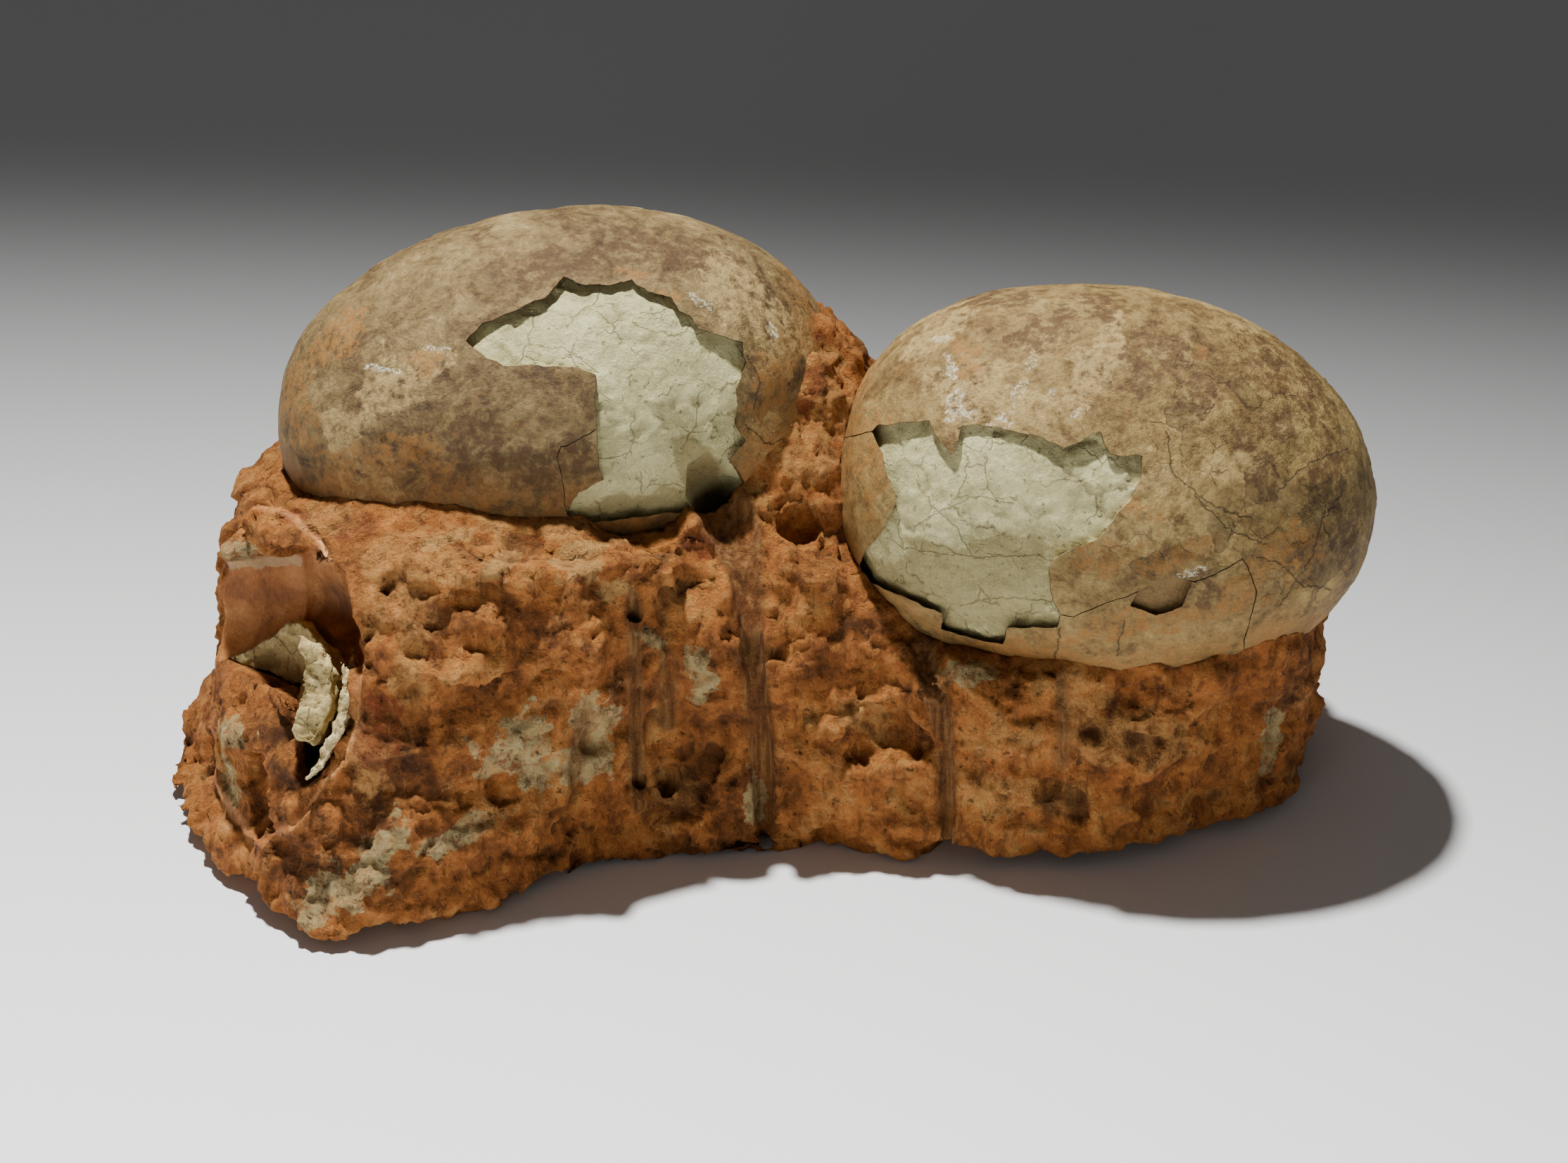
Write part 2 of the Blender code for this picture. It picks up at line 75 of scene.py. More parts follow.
LEFT_EGG = {
    "centre": (-61.0, 27.0, 101.0),
    "halves": (76.0, 76.5, 54.0, 51.5),
    "turn": 10.0,
    "tilt": 6.0,
    "blunt": 2.15,
}
RIGHT_EGG = {
    "centre": (86.5, 4.4, 86.0),
    "halves": (72.0, 71.5, 54.0, 54.5),
    "turn": -6.0,
    "tilt": -3.5,
    "blunt": 2.4,
}
THIRD_EGG = {
    "centre": (-171.0, -61.0, 62.0),
    "halves": (72.0, 72.0, 54.0, 52.0),
    "turn": 43.0,
    "tilt": 0.0,
    "blunt": 2.0,
}

LEFT_WINDOW = [
    (-21, 13), (-17, 17.5), (-9.5, 20.5), (-1, 24.5), (4, 30), (9, 28), (16, 28), (21.5, 29.5),
    (25.5, 26.5), (31.5, 25), (34, 21.5), (37, 20), (38.5, 17), (42.5, 15.5), (50, 13.5), (51, 8),
    (48.5, 1), (49, -2), (48, -8), (51, -12), (47, -17), (42, -24), (34, -31), (29.5, -31.3),
    (15, -33.4), (6, -34.4), (4.5, -31.5), (8, -26), (15, -22.7), (13.6, -20), (13, -9.6),
    (12.4, -4.7), (12.7, 4), (7.3, 6), (-1.3, 6.6), (-11.3, 6.5), (-16.2, 9),
]
LEFT_CORNER_PLATE = [
    (13, -9.6), (8, -12.5), (3.5, -14.5), (2.4, -17.3), (3.7, -22.7), (4.5, -31.5), (8, -26),
    (15, -22.7), (13.6, -20),
]
RIGHT_WINDOW = [
    (-63.5, 14.5), (-62, 16), (-49, 16.7), (-47.7, 12.6), (-43.5, 7.7), (-42, 10.7), (-41, 15.4),
    (-34, 15), (-25.7, 13), (-21, 12), (-15.5, 9.2), (-12.5, 10.2), (-6.4, 13.5), (-3.8, 7.4),
    (4.4, 7.2), (4.3, 3.6), (2, -3.2), (-1.9, -7.1), (-4.6, -11.9), (-8.5, -14.7), (-13.2, -16.1),
    (-17.9, -19.2), (-19, -22.6), (-17.5, -29.4), (-15.8, -33.2), (-16.2, -36.3), (-29.1, -36.6),
    (-29.7, -40.8), (-37.1, -39.4), (-45, -37), (-45, -33), (-50, -31), (-54.8, -28.4),
    (-60.8, -26), (-66.5, -23), (-65, -16.4), (-61.1, -12.6), (-57.1, -3.8), (-57.8, -1.8),
    (-59.7, 3.1), (-61.1, 9.2),
]
# The loose plates share these parts of the window's outline.
WINDOW_SIDE = RIGHT_WINDOW[-7:]
WINDOW_FOOT = RIGHT_WINDOW[24:-6]
RIGHT_SIDE_FLAP = RIGHT_WINDOW[:1] + WINDOW_SIDE[::-1] + [(-85, -23), (-85, 11)]
RIGHT_LOWER_BAND = [(-85, -23)] + WINDOW_FOOT[::-1] + [
    (-12.4, -33.7), (-7.8, -31.7), (-2, -29.4), (5.5, -26.3), (11.3, -22.6), (18.3, -24.9),
    (25, -22), (31, -18.5), (35, -27), (33, -40), (37, -70), (-85, -70),
]
RIGHT_CHIP = [(3.5, -27.5), (11, -22.5), (17.5, -25), (15.5, -31), (9, -33.5), (2, -31)]

CREASE = -127.7  # the third egg's mould turns a corner this far right of the origin

# The wide drill groove, right and up in the window plane through the origin, and its half-width.
MAIN_GROOVE = [
    (-21, 83, 4.5), (-18.5, 77, 8), (-13, 66, 7.5), (-10, 56, 4.5), (-8.5, 38, 3.8), (-7, 20, 3.6),
]
DRILL_GROOVES = [
    MAIN_GROOVE[1:] + [(-5.5, 4, 3.4), (-5, -12, 2.8)],
    [(36, 35, 3.4), (40, 20, 2.8), (42.5, 5, 2.6), (44, -15, 2.4)],
    [(72, 28, 1.6), (73, 4, 1.6)],
    [(-52, 20, 2.2), (-55, 0, 2.2)],
    [(-30, 32, 2.2), (-31, 14, 2.2)],
    [(-39, 48, 2), (-38.5, -8, 2)],
]

# --- Eggs --------------------------------------------------------------------------------------


def in_mm(point):
    return Vector(point) * MM


def egg_matrix(egg):
    turn = Matrix.Rotation(math.radians(egg["turn"]), 4, "Z")
    tilt = Matrix.Rotation(math.radians(-egg["tilt"]), 4, "Y")
    return Matrix.Translation(in_mm(egg["centre"])) @ turn @ tilt


def egg_reach(egg, directions, grow=0.0):
    """How far the egg's surface is from its centre along each unit direction, in metres."""
    blunt_end, narrow_end, across, up = (half + grow for half in egg["halves"])
    x, y, z = directions[:, 0], directions[:, 1], directions[:, 2]
    along = np.where(x < 0, blunt_end, narrow_end)
    power = 2 + (egg["blunt"] - 2) * np.sqrt(np.maximum(0.0, -x))
    side = np.hypot(y / across, z / up)
    return (np.abs(x / along) ** power + side**power) ** (-1 / power) * MM


def egg_distance(egg, points):
    """How far each point is outside the egg's surface, in millimetres, measured from its centre."""
    local = points @ np.array(egg_matrix(egg).inverted().to_3x3()).T
    local = local + np.array(egg_matrix(egg).inverted().translation)
    length = np.linalg.norm(local, axis=1)
    return (length - egg_reach(egg, local / length[:, None])) / MM


def egg_outward(egg, points):
    away = points - np.array(in_mm(egg["centre"]))
    return away / np.linalg.norm(away, axis=1)[:, None]


def read(parts, key):
    """This vector of each of a mesh's vertices or faces, one to a row."""
    flat = np.empty(len(parts) * 3)
    parts.foreach_get(key, flat)
    return flat.reshape(-1, 3)


def set_vertices(mesh, points):
    mesh.vertices.foreach_set("co", points.ravel())
    mesh.update()


def store(mesh, name, values):
    """Keep one number per vertex for the materials."""
    attribute = mesh.attributes.new(name, "FLOAT", "POINT")
    attribute.data.foreach_set("value", np.asarray(values, dtype=np.float32))


def new_object(name, data):
    obj = bpy.data.objects.new(name, data)
    bpy.context.scene.collection.objects.link(obj)
    return obj


def egg_object(egg, grow, subdivisions, name):
    bpy.ops.mesh.primitive_ico_sphere_add(subdivisions=subdivisions, radius=1.0)
    obj = bpy.context.object
    obj.name = obj.data.name = name
    directions = read(obj.data.vertices, "co")
    directions /= np.linalg.norm(directions, axis=1)[:, None]
    set_vertices(obj.data, directions * egg_reach(egg, directions, grow)[:, None])
    obj.data.transform(egg_matrix(egg))
    return obj


def window_frame(points):
    """Points in metres as millimetres right, up and out of the window plane through the origin."""
    right = points[:, 0]
    up = points[:, 1] * math.sin(RISE) + points[:, 2] * math.cos(RISE)
    out = -points[:, 1] * math.cos(RISE) + points[:, 2] * math.sin(RISE)
    return np.stack([right, up, out], axis=1) / MM


def window_point(right, up, out):
    y = up * math.sin(RISE) - out * math.cos(RISE)
    z = up * math.cos(RISE) + out * math.sin(RISE)
    return Vector((right, y, z)) * MM


# --- Mesh tools --------------------------------------------------------------------------------


def apply_modifier(obj, kind, **settings):
    bpy.ops.object.select_all(action="DESELECT")
    modifier = obj.modifiers.new(kind.title(), kind)
    for key, value in settings.items():
        setattr(modifier, key, value)
    bpy.context.view_layer.objects.active = obj
    bpy.ops.object.modifier_apply(modifier=modifier.name)


def boolean(obj, operation, other):
    apply_modifier(obj, "BOOLEAN", operation=operation, object=other)
    bpy.data.objects.remove(other)


def copy_of_node(node, name):
    """A loose copy of a solid's mesh, with its vertices merged."""
    bm = bmesh.new()
    bm.from_mesh(NODES[node].data)
    bmesh.ops.remove_doubles(bm, verts=bm.verts, dist=0.001 * MM)
    mesh = bpy.data.meshes.new(name)
    bm.to_mesh(mesh)
    bm.free()
    return new_object(name, mesh)


def keep_largest(obj):
    """Delete the crumbs that a cut leaves."""
    bm = bmesh.new()
    bm.from_mesh(obj.data)
    unseen = set(bm.verts)
    islands = []
    while unseen:
        search = [unseen.pop()]
        island = []
        while search:
            vertex = search.pop()
            island.append(vertex)
            for edge in vertex.link_edges:
                neighbour = edge.other_vert(vertex)
                if neighbour in unseen:
                    unseen.remove(neighbour)
                    search.append(neighbour)
        islands.append(island)
    islands.sort(key=len, reverse=True)
    crumbs = [vertex for island in islands[1:] for vertex in island]
    bmesh.ops.delete(bm, geom=crumbs, context="VERTS")
    bm.to_mesh(obj.data)
    bm.free()


def inset(outline, distance):
    """The closed outline with each of its sides moved inwards by this distance."""
    points = [Vector(point) for point in outline]
    area = sum(a.x * b.y - b.x * a.y for a, b in zip(points, points[1:] + points[:1]))
    inward = 1 if area > 0 else -1
    moved = []
    for before, point, after in zip(points[-1:] + points[:-1], points, points[1:] + points[:1]):
        arriving = (point - before).normalized()
        leaving = (after - point).normalized()
        normal = Vector((-arriving.y - leaving.y, arriving.x + leaving.x)).normalized() * inward
        side_normal = Vector((-arriving.y, arriving.x)) * inward
        stretch = 1 / max(0.5, normal.dot(side_normal))
        moved.append(point + normal * distance * stretch)
    return moved


def opening_outline(outlines):
    """The loop round several outlines that meet side to side."""
    neighbours = {}
    for outline in outlines:
        for start, end in zip(outline, outline[1:] + outline[:1]):
            if end in neighbours.get(start, []):
                neighbours[start].remove(end)
                neighbours[end].remove(start)
            else:
                neighbours.setdefault(start, []).append(end)
                neighbours.setdefault(end, []).append(start)
    start = outlines[0][0]
    loop = [start, neighbours[start][0]]
    while loop[-1] != start:
        before, here = loop[-2:]
        loop.append(next(point for point in neighbours[here] if point != before))
    return loop[:-1]


def ragged(outline, step=0.7, size=0.45):
    """The outline with the small teeth of a break. In one run a point of the plane always moves the
    same way, so that two pieces that were one still fit. noise_vector has no seed set, so the next
    run's teeth are a little different."""
    points = [Vector(point) for point in outline]
    teeth = []
    for start, end in zip(points, points[1:] + points[:1]):
        count = max(1, round((end - start).length / step))
        for number in range(count):
            place = start.lerp(end, number / count)
            coarse = noise.noise_vector(Vector((place.x / 3.1, place.y / 3.1, 0.5)))
            fine = noise.noise_vector(Vector((place.x / 1.1, place.y / 1.1, 7.5)))
            shift = coarse * size + fine * size * 0.5
            teeth.append(place + Vector((shift.x, shift.y)))
    return teeth


def new_curve(name, dimensions, count):
    """A curve with one straight-sided spline of this many points."""
    curve = bpy.data.curves.new(name, "CURVE")
    curve.dimensions = dimensions
    spline = curve.splines.new("POLY")
    spline.points.add(count - 1)
    return curve, spline


def mesh_from_curve(curve, matrix, name):
    obj = new_object(name, curve)
    bpy.context.view_layer.update()
    evaluated = obj.evaluated_get(bpy.context.evaluated_depsgraph_get())
    mesh = bpy.data.meshes.new_from_object(evaluated)
    bpy.data.objects.remove(obj)
    bm = bmesh.new()
    bm.from_mesh(mesh)
    bmesh.ops.remove_doubles(bm, verts=bm.verts, dist=0.01 * MM)
    bmesh.ops.recalc_face_normals(bm, faces=bm.faces)
    bm.to_mesh(mesh)
    bm.free()
    mesh.transform(matrix)
    return new_object(name, mesh)


def prism(outline, centre, start):
    """A prism over the outline, from this far in front of the centre out to REACH."""
    curve, spline = new_curve("outline", "2D", len(outline))
    curve.fill_mode = "BOTH"
    curve.extrude = (REACH - start) / 2 * MM
    for spline_point, (right, up) in zip(spline.points, outline):
        spline_point.co = (right * MM, up * MM, 0, 1)
    spline.use_cyclic_u = True
    outward = Matrix.Rotation(math.radians(90) - RISE, 4, "X")
    middle = Matrix.Translation((0, 0, (REACH + start) / 2 * MM))
    return mesh_from_curve(curve, Matrix.Translation(in_mm(centre)) @ outward @ middle, "prism")


def egg_surface_point(egg, right, up):
    """The egg's surface straight behind a point of the window plane through the origin."""
    outs = np.arange(160.0, -60.0, -0.25)
    line = np.array([window_point(right, up, out) for out in outs])
    inside = egg_distance(egg, line) < 0
    return Vector(line[int(np.argmax(inside))])


def groove_cutter():
    """A round bar along the wide drill groove where it runs over the left egg."""
    places = [egg_surface_point(LEFT_EGG, right, up) for right, up, _ in MAIN_GROOVE[:3]]
    places += [window_point(right, up, ROCK_FRONT) for right, up, _ in MAIN_GROOVE[3:]]
    curve, spline = new_curve("groove", "3D", len(places))
    curve.bevel_depth = MM
    curve.bevel_resolution = 6
    curve.use_fill_caps = True
    for spline_point, place, (_, _, radius) in zip(spline.points, places, MAIN_GROOVE):
        spline_point.co = (*place, 1)
        spline_point.radius = radius
    return mesh_from_curve(curve, Matrix.Identity(4), "groove")


def noise_array(points, size, seed, octaves=3, ridged=False):
    """One noise value for each point, for features of this size in millimetres."""
    shift = Vector((seed * 13.7, seed * 5.3, seed * 9.1))
    scaled = points / (size * MM)
    if ridged:
        return np.array([
            noise.ridged_multi_fractal(Vector(p) + shift, 1.0, 2.0, octaves, 1.0, 2.0)
            for p in scaled
        ])
    return np.array([noise.fractal(Vector(p) + shift, 1.0, 2.0, octaves) for p in scaled])


def cells(points, sizes, seed):
    """For cells of these sizes in millimetres: the distances to the nearest and the next cell's
    centre, and the step from the nearest centre, all in cells, with three numbers of that cell."""
    shift = np.array((seed * 3.3, seed * 7.7, seed * 1.9))
    scaled = points / (np.array(sizes) * MM) + shift
    gaps, steps, centres = [], [], []
    for point in scaled:
        distances, nearest = noise.voronoi(Vector(point))
        gaps.append(distances[:2])
        centres.append(nearest[0])
    centres = np.array(centres)
    waves = np.sin(centres @ np.array([[12.9, 39.3, 73.1], [78.2, 11.1, 52.2], [37.7, 94.7, 9.2]]))
    return np.array(gaps), scaled - centres, np.modf(waves * 4375.85)[0] % 1.0


def facets(points, sizes, seed):
    """Broken facets, each tilted its own way: from about -0.5 to 0.5."""
    _, steps, numbers = cells(points, sizes, seed)
    return np.sum(steps * (numbers - 0.5), axis=1) * 1.6 + (numbers[:, 0] - 0.5) * 0.35


def scoops(points, sizes, seed):
    """Shallow dents side by side, 0 at their rims and -1 at the bottom of the deepest."""
    gaps, _, numbers = cells(points, sizes, seed)
    reach = 0.55 + 0.35 * numbers[:, 0]
    return -(0.35 + 0.65 * numbers[:, 1]) * np.maximum(0.0, 1 - (gaps[:, 0] / reach) ** 2)


def smoothstep(low, high, values):
    t = np.clip((values - low) / (high - low), 0.0, 1.0)
    return t * t * (3 - 2 * t)


def line_distance(places, line):
    """Distance of each (right, up) place from a line of (right, up, half-width) points, less its
    half-width there."""
    best = np.full(len(places), 1e9)
    for (ax, ay, ar), (bx, by, br) in zip(line, line[1:]):
        start, along = np.array((ax, ay)), np.array((bx - ax, by - ay))
        t = np.clip(((places - start) @ along) / (along @ along), 0, 1)
        gap = np.linalg.norm(places - (start + t[:, None] * along), axis=1)
        best = np.minimum(best, gap - (ar + t * (br - ar)))
    return best


# --- Materials: shared effects -----------------------------------------------------------------


def add(tree, kind, inputs=None, **settings):
    """A node with these settings. An input is either a value or the socket that feeds it."""
    node = tree.nodes.new(kind)
    for key, value in settings.items():
        setattr(node, key, value)
    for key, value in (inputs or {}).items():
        if isinstance(value, bpy.types.NodeSocket):
            tree.links.new(value, node.inputs[key])
        else:
            node.inputs[key].default_value = value
    return node


def calc(tree, operation, first, second=0.0, third=0.0):
    inputs = {0: first, 1: second, 2: third}
    return add(tree, "ShaderNodeMath", inputs, operation=operation).outputs[0]


def vector(tree, operation, first, second=None, output="Vector"):
    """A calculation on vectors; the second one is a number when it scales the first."""
    inputs = {0: first}
    if second is not None:
        inputs[3 if operation == "SCALE" else 1] = second
    return add(tree, "ShaderNodeVectorMath", inputs, operation=operation).outputs[output]


def turned(tree, place, axis, angle):
    inputs = {"Vector": place, "Angle": angle}
    return add(tree, "ShaderNodeVectorRotate", inputs, rotation_type=axis + "_AXIS").outputs[0]


def part_of(tree, place, number):
    """The first, second or third number of a place."""
    return add(tree, "ShaderNodeSeparateXYZ", {0: place}).outputs[number]


def step(tree, value, low, high):
    """0 below low, 1 above high and a smooth step between, or the other way if low is higher."""
    inputs = {"Value": value, "From Min": low, "From Max": high}
    return add(tree, "ShaderNodeMapRange", inputs, interpolation_type="SMOOTHSTEP").outputs[0]


def mix(tree, factor, first, second, mode="MIX"):
    inputs = {0: factor, 6: first, 7: second}
    return add(tree, "ShaderNodeMix", inputs, data_type="RGBA", blend_type=mode).outputs[2]


def wandering(tree, start, place, scale, roughness, swing):
    """The start, moved about from place to place by up to half the swing."""
    inputs = {"Vector": place, "Scale": scale, "Detail": 4.0, "Roughness": roughness}
    colour = add(tree, "ShaderNodeTexNoise", inputs).outputs["Color"]
    centred = vector(tree, "ADD", colour, (-0.5, -0.5, -0.5))
    return vector(tree, "ADD", start, vector(tree, "SCALE", centred, swing))


FLOAT = "NodeSocketFloat"
VECTOR = "NodeSocketVector"


def new_group(name, inputs, outputs):
    """An empty node group; inputs and outputs give each socket's name and kind."""
    group = bpy.data.node_groups.new(name, "ShaderNodeTree")
    for direction, sockets in (("INPUT", inputs), ("OUTPUT", outputs)):
        for socket_name, kind in sockets.items():
            group.interface.new_socket(socket_name, in_out=direction, socket_type=kind)
    source = group.nodes.new("NodeGroupInput").outputs
    target = group.nodes.new("NodeGroupOutput").inputs
    return group, source, target


def make_places_group():
    """The point in millimetres, and as millimetres right, up and out of the window plane."""
    group, _, target = new_group("Places", {}, {"Place": VECTOR, "Window": VECTOR})
    here = add(group, "ShaderNodeTexCoord").outputs["Object"]
    place = vector(group, "SCALE", here, 1 / MM)
    level = turned(group, place, "X", RISE)
    out = calc(group, "MULTIPLY", part_of(group, level, 1), -1.0)
    inputs = {0: part_of(group, level, 0), 1: part_of(group, level, 2), 2: out}
    window = add(group, "ShaderNodeCombineXYZ", inputs).outputs[0]
    group.links.new(place, target["Place"])
    group.links.new(window, target["Window"])
    return group


def make_patch_group():
    """1 inside an oval of the window plane, with a broken edge, and 0 outside it."""
    group, source, target = new_group(
        "Patch",
        {
            "Place": VECTOR, "Window": VECTOR, "Centre": VECTOR, "Radii": VECTOR, "Turn": FLOAT,
            "Ragged": FLOAT, "Size": FLOAT,
        },
        {"Mask": FLOAT},
    )
    away = vector(group, "SUBTRACT", source["Window"], source["Centre"])
    flat = vector(group, "MULTIPLY", turned(group, away, "Z", source["Turn"]), (1.0, 1.0, 0.0))
    reach = vector(group, "LENGTH", vector(group, "DIVIDE", flat, source["Radii"]), output="Value")
    scale = calc(group, "DIVIDE", 1.0, source["Size"])
    inputs = {"Vector": source["Place"], "Scale": scale, "Detail": 5.0, "Roughness": 0.62}
    rough = add(group, "ShaderNodeTexNoise", inputs).outputs["Fac"]
    swing = calc(group, "MULTIPLY", calc(group, "SUBTRACT", rough, 0.5), source["Ragged"])
    edge = calc(group, "MULTIPLY_ADD", swing, 4.0, reach)
    front = step(group, part_of(group, source["Window"], 2), 5.0, 18.0)
    mask = calc(group, "MULTIPLY", step(group, edge, 1.12, 0.88), front)
    group.links.new(mask, target["Mask"])
    return group


def make_crack_group():
    """How near a point is to a straight crack: 1 on it, and 0 further off than its width."""
    group, source, target = new_group(
        "Crack", {"Window": VECTOR, "Start": VECTOR, "End": VECTOR, "Width": FLOAT}, {"Mask": FLOAT}
    )
    flat = vector(group, "MULTIPLY", source["Window"], (1.0, 1.0, 0.0))
    away = vector(group, "SUBTRACT", flat, source["Start"])
    along = vector(group, "SUBTRACT", source["End"], source["Start"])
    ahead = vector(group, "DOT_PRODUCT", away, along, "Value")
    whole = vector(group, "DOT_PRODUCT", along, along, "Value")
    share = add(group, "ShaderNodeClamp", {"Value": calc(group, "DIVIDE", ahead, whole)}).outputs[0]
    gap = vector(group, "DISTANCE", away, vector(group, "SCALE", along, share), "Value")
    mask = step(group, calc(group, "DIVIDE", gap, source["Width"]), 1.0, 0.35)
    group.links.new(mask, target["Mask"])
    return group


def make_mosaic_group():
    """A net of fine cracks round cells of this size, and a number for each cell."""
    group, source, target = new_group(
        "Mosaic",
        {"Place": VECTOR, "Cell": FLOAT, "Width": FLOAT},
        {"Mask": FLOAT, "Shade": FLOAT},
    )
    place = wandering(group, source["Place"], source["Place"], 0.22, 0.5, 5.0)
    inputs = {"Vector": place, "Scale": calc(group, "DIVIDE", 1.0, source["Cell"])}
    edge = add(group, "ShaderNodeTexVoronoi", inputs, feature="DISTANCE_TO_EDGE")
    gap = calc(group, "MULTIPLY", edge.outputs["Distance"], source["Cell"])
    mask = step(group, calc(group, "DIVIDE", gap, source["Width"]), 1.0, 0.3)
    cell = add(group, "ShaderNodeTexVoronoi", inputs).outputs["Color"]
    group.links.new(mask, target["Mask"])
    group.links.new(add(group, "ShaderNodeSeparateColor", {0: cell}).outputs[0], target["Shade"])
    return group


GROUPS = {
    "places": make_places_group(),
    "patch": make_patch_group(),
    "crack": make_crack_group(),
    "mosaic": make_mosaic_group(),
}


def new_material(name):
    """A material and its Principled BSDF."""
    material = bpy.data.materials.new(name)
    material.use_nodes = True
    return material, material.node_tree.nodes["Principled BSDF"]


class Look:
    """A material in the making, with the places on the surface and the colour so far."""

    def __init__(self, name):
        self.material, self.shader = new_material(name)
        self.tree = self.material.node_tree
        node = add(self.tree, "ShaderNodeGroup", node_tree=GROUPS["places"])
        self.place, self.window = node.outputs["Place"], node.outputs["Window"]
        self.colour = None

    def times(self, first, second):
        return calc(self.tree, "MULTIPLY", first, second)

    def highest(self, first, second):
        return calc(self.tree, "MAXIMUM", first, second)

    def raised(self, start, value, by):
        """The start, with the value times this number added to it."""
        return calc(self.tree, "MULTIPLY_ADD", value, by, start)

    def total(self, first, *others):
        """The sum of these values, each given with its weight."""
        total = self.times(*first)
        for value, weight in others:
            total = self.raised(total, value, weight)
        return total

    def step(self, value, low, high):
        return step(self.tree, value, low, high)

    def noise(self, size, detail=4.0, roughness=0.55, distortion=0.0, shift=None, squash=None):
        """Noise whose features are about this many millimetres wide, and taller the smaller the
        squash is."""
        place = self.place
        if shift:
            place = vector(self.tree, "ADD", place, shift)
        if squash:
            place = vector(self.tree, "MULTIPLY", place, (1.0, 1.0, squash))
        inputs = {
            "Vector": place, "Scale": 1 / size, "Detail": detail, "Roughness": roughness,
            "Distortion": distortion,
        }
        return add(self.tree, "ShaderNodeTexNoise", inputs).outputs["Fac"]

    def stored(self, name):
        """The number that the mesh keeps under this name at each vertex."""
        return add(self.tree, "ShaderNodeAttribute", attribute_name=name).outputs["Fac"]

    def union(self, group, settings):
        """The highest of the masks that this group gives with each of these settings."""
        total = None
        for inputs in settings:
            mask = add(self.tree, "ShaderNodeGroup", inputs, node_tree=GROUPS[group]).outputs[0]
            total = mask if total is None else self.highest(total, mask)
        return total

    def patches(self, ovals, ragged, size):
        """Patches, each (right, up, half-width, half-height) and, if turned, the degrees."""
        return self.union("patch", [
            {
                "Place": self.place, "Window": self.window, "Centre": (right, up, 0.0),
                "Radii": (half_width, half_height, 1.0), "Turn": -math.radians(sum(turn)),
                "Ragged": ragged, "Size": size,
            }
            for right, up, half_width, half_height, *turn in ovals
        ])

    def cracks(self, lines, width):
        """Cracks, each a list of (right, up) points, that wander a little."""
        bent = wandering(self.tree, self.window, self.place, 0.35, 0.6, 3.2)
        return self.union("crack", [
            {"Window": bent, "Start": (*start, 0.0), "End": (*end, 0.0), "Width": width}
            for line in lines
            for start, end in zip(line, line[1:])
        ])

    def mosaic(self, cell, width):
        inputs = {"Place": self.place, "Cell": cell, "Width": width}
        node = add(self.tree, "ShaderNodeGroup", inputs, node_tree=GROUPS["mosaic"])
        return node.outputs["Mask"], node.outputs["Shade"]

    def ramp(self, value, positions, tones):
        """The colour that the value picks from tones at these positions."""
        node = add(self.tree, "ShaderNodeValToRGB", {"Fac": value})
        elements = node.color_ramp.elements
        while len(elements) < len(tones):
            elements.new(0.5)
        for element, position, tone in zip(elements, positions, tones):
            element.position = position
            element.color = (*tone, 1.0)
        return node.outputs["Color"]

    def mixed(self, factor, first, second):
        return mix(self.tree, factor, first, second)

    def tint(self, mask, amount, colour):
        """Lay this much of a colour over the mask's part of the colour so far."""
        self.colour = self.mixed(self.times(mask, amount), self.colour, (*colour, 1.0))

    def speckle(self, grain, amount):
        """Make the colour so far lighter and darker by the grain."""
        shade = self.raised(1.0 - amount, grain, 2 * amount)
        grey = add(self.tree, "ShaderNodeCombineColor", {0: shade, 1: shade, 2: shade}).outputs[0]
        self.colour = mix(self.tree, 1.0, self.colour, grey, "MULTIPLY")

    def finish(self, roughness, height, depth=1.0):
        """Wire up the material, with a bump that is this many millimetres deep at 1."""
        inputs = {"Height": height, "Strength": 1.0, "Distance": depth * MM}
        bump = add(self.tree, "ShaderNodeBump", inputs).outputs[0]
        self.tree.links.new(self.colour, self.shader.inputs["Base Color"])
        self.tree.links.new(roughness, self.shader.inputs["Roughness"])
        self.tree.links.new(bump, self.shader.inputs["Normal"])
        self.shader.inputs["Specular IOR Level"].default_value = 0.3
        return self.material


# --- Materials ---------------------------------------------------------------------------------

# Colours, linear.
DEEP_RED = (0.105, 0.036, 0.010)
RUST = (0.26, 0.086, 0.020)
RED_ORANGE = (0.46, 0.148, 0.031)
ORANGE = (0.60, 0.215, 0.046)
SAND = (0.68, 0.34, 0.100)
YELLOW_SAND = (0.64, 0.37, 0.125)
ROCK_GREY = (0.60, 0.49, 0.23)
# The next three colours are painted light: shade below the chisel's nicks, a highlight on their
# edges, and shade in the pits.
NICK_SHADE = (0.13, 0.048, 0.013)
NICK_HIGHLIGHT = (0.74, 0.35, 0.095)
PIT_SHADE = (0.045, 0.017, 0.006)
DARK_BROWN = (0.11, 0.056, 0.021)
CALCITE_WHITE = (0.84, 0.78, 0.58)
SCRAPED_TONES = [(0.10, 0.037, 0.011), (0.20, 0.086, 0.026), (0.34, 0.18, 0.062)]
MOULD_TONES = [(0.22, 0.072, 0.016), (0.40, 0.14, 0.031), (0.55, 0.23, 0.062)]
# The mould's tones past the crease are painted lighter, as painted light where little light falls.
LUNE_LIGHTENED_TONES = [(0.26, 0.098, 0.030), (0.54, 0.22, 0.065), (0.76, 0.38, 0.135)]
# The broken edge's dark tones are partly its own brown and partly painted shade.
EDGE_BROWN_AND_SHADE_TONES = [(0.055, 0.027, 0.009), (0.14, 0.074, 0.026), (0.26, 0.16, 0.062)]
STRIP_TONES = [(0.30, 0.19, 0.071), (0.57, 0.44, 0.20), (0.83, 0.69, 0.36)]
FILL_TONES = [(0.40, 0.35, 0.17), (0.56, 0.51, 0.25), (0.68, 0.63, 0.32), (0.80, 0.76, 0.41)]
REMNANT_TONES = [(0.28, 0.20, 0.090), (0.47, 0.34, 0.14), (0.65, 0.51, 0.22), (0.86, 0.69, 0.33)]
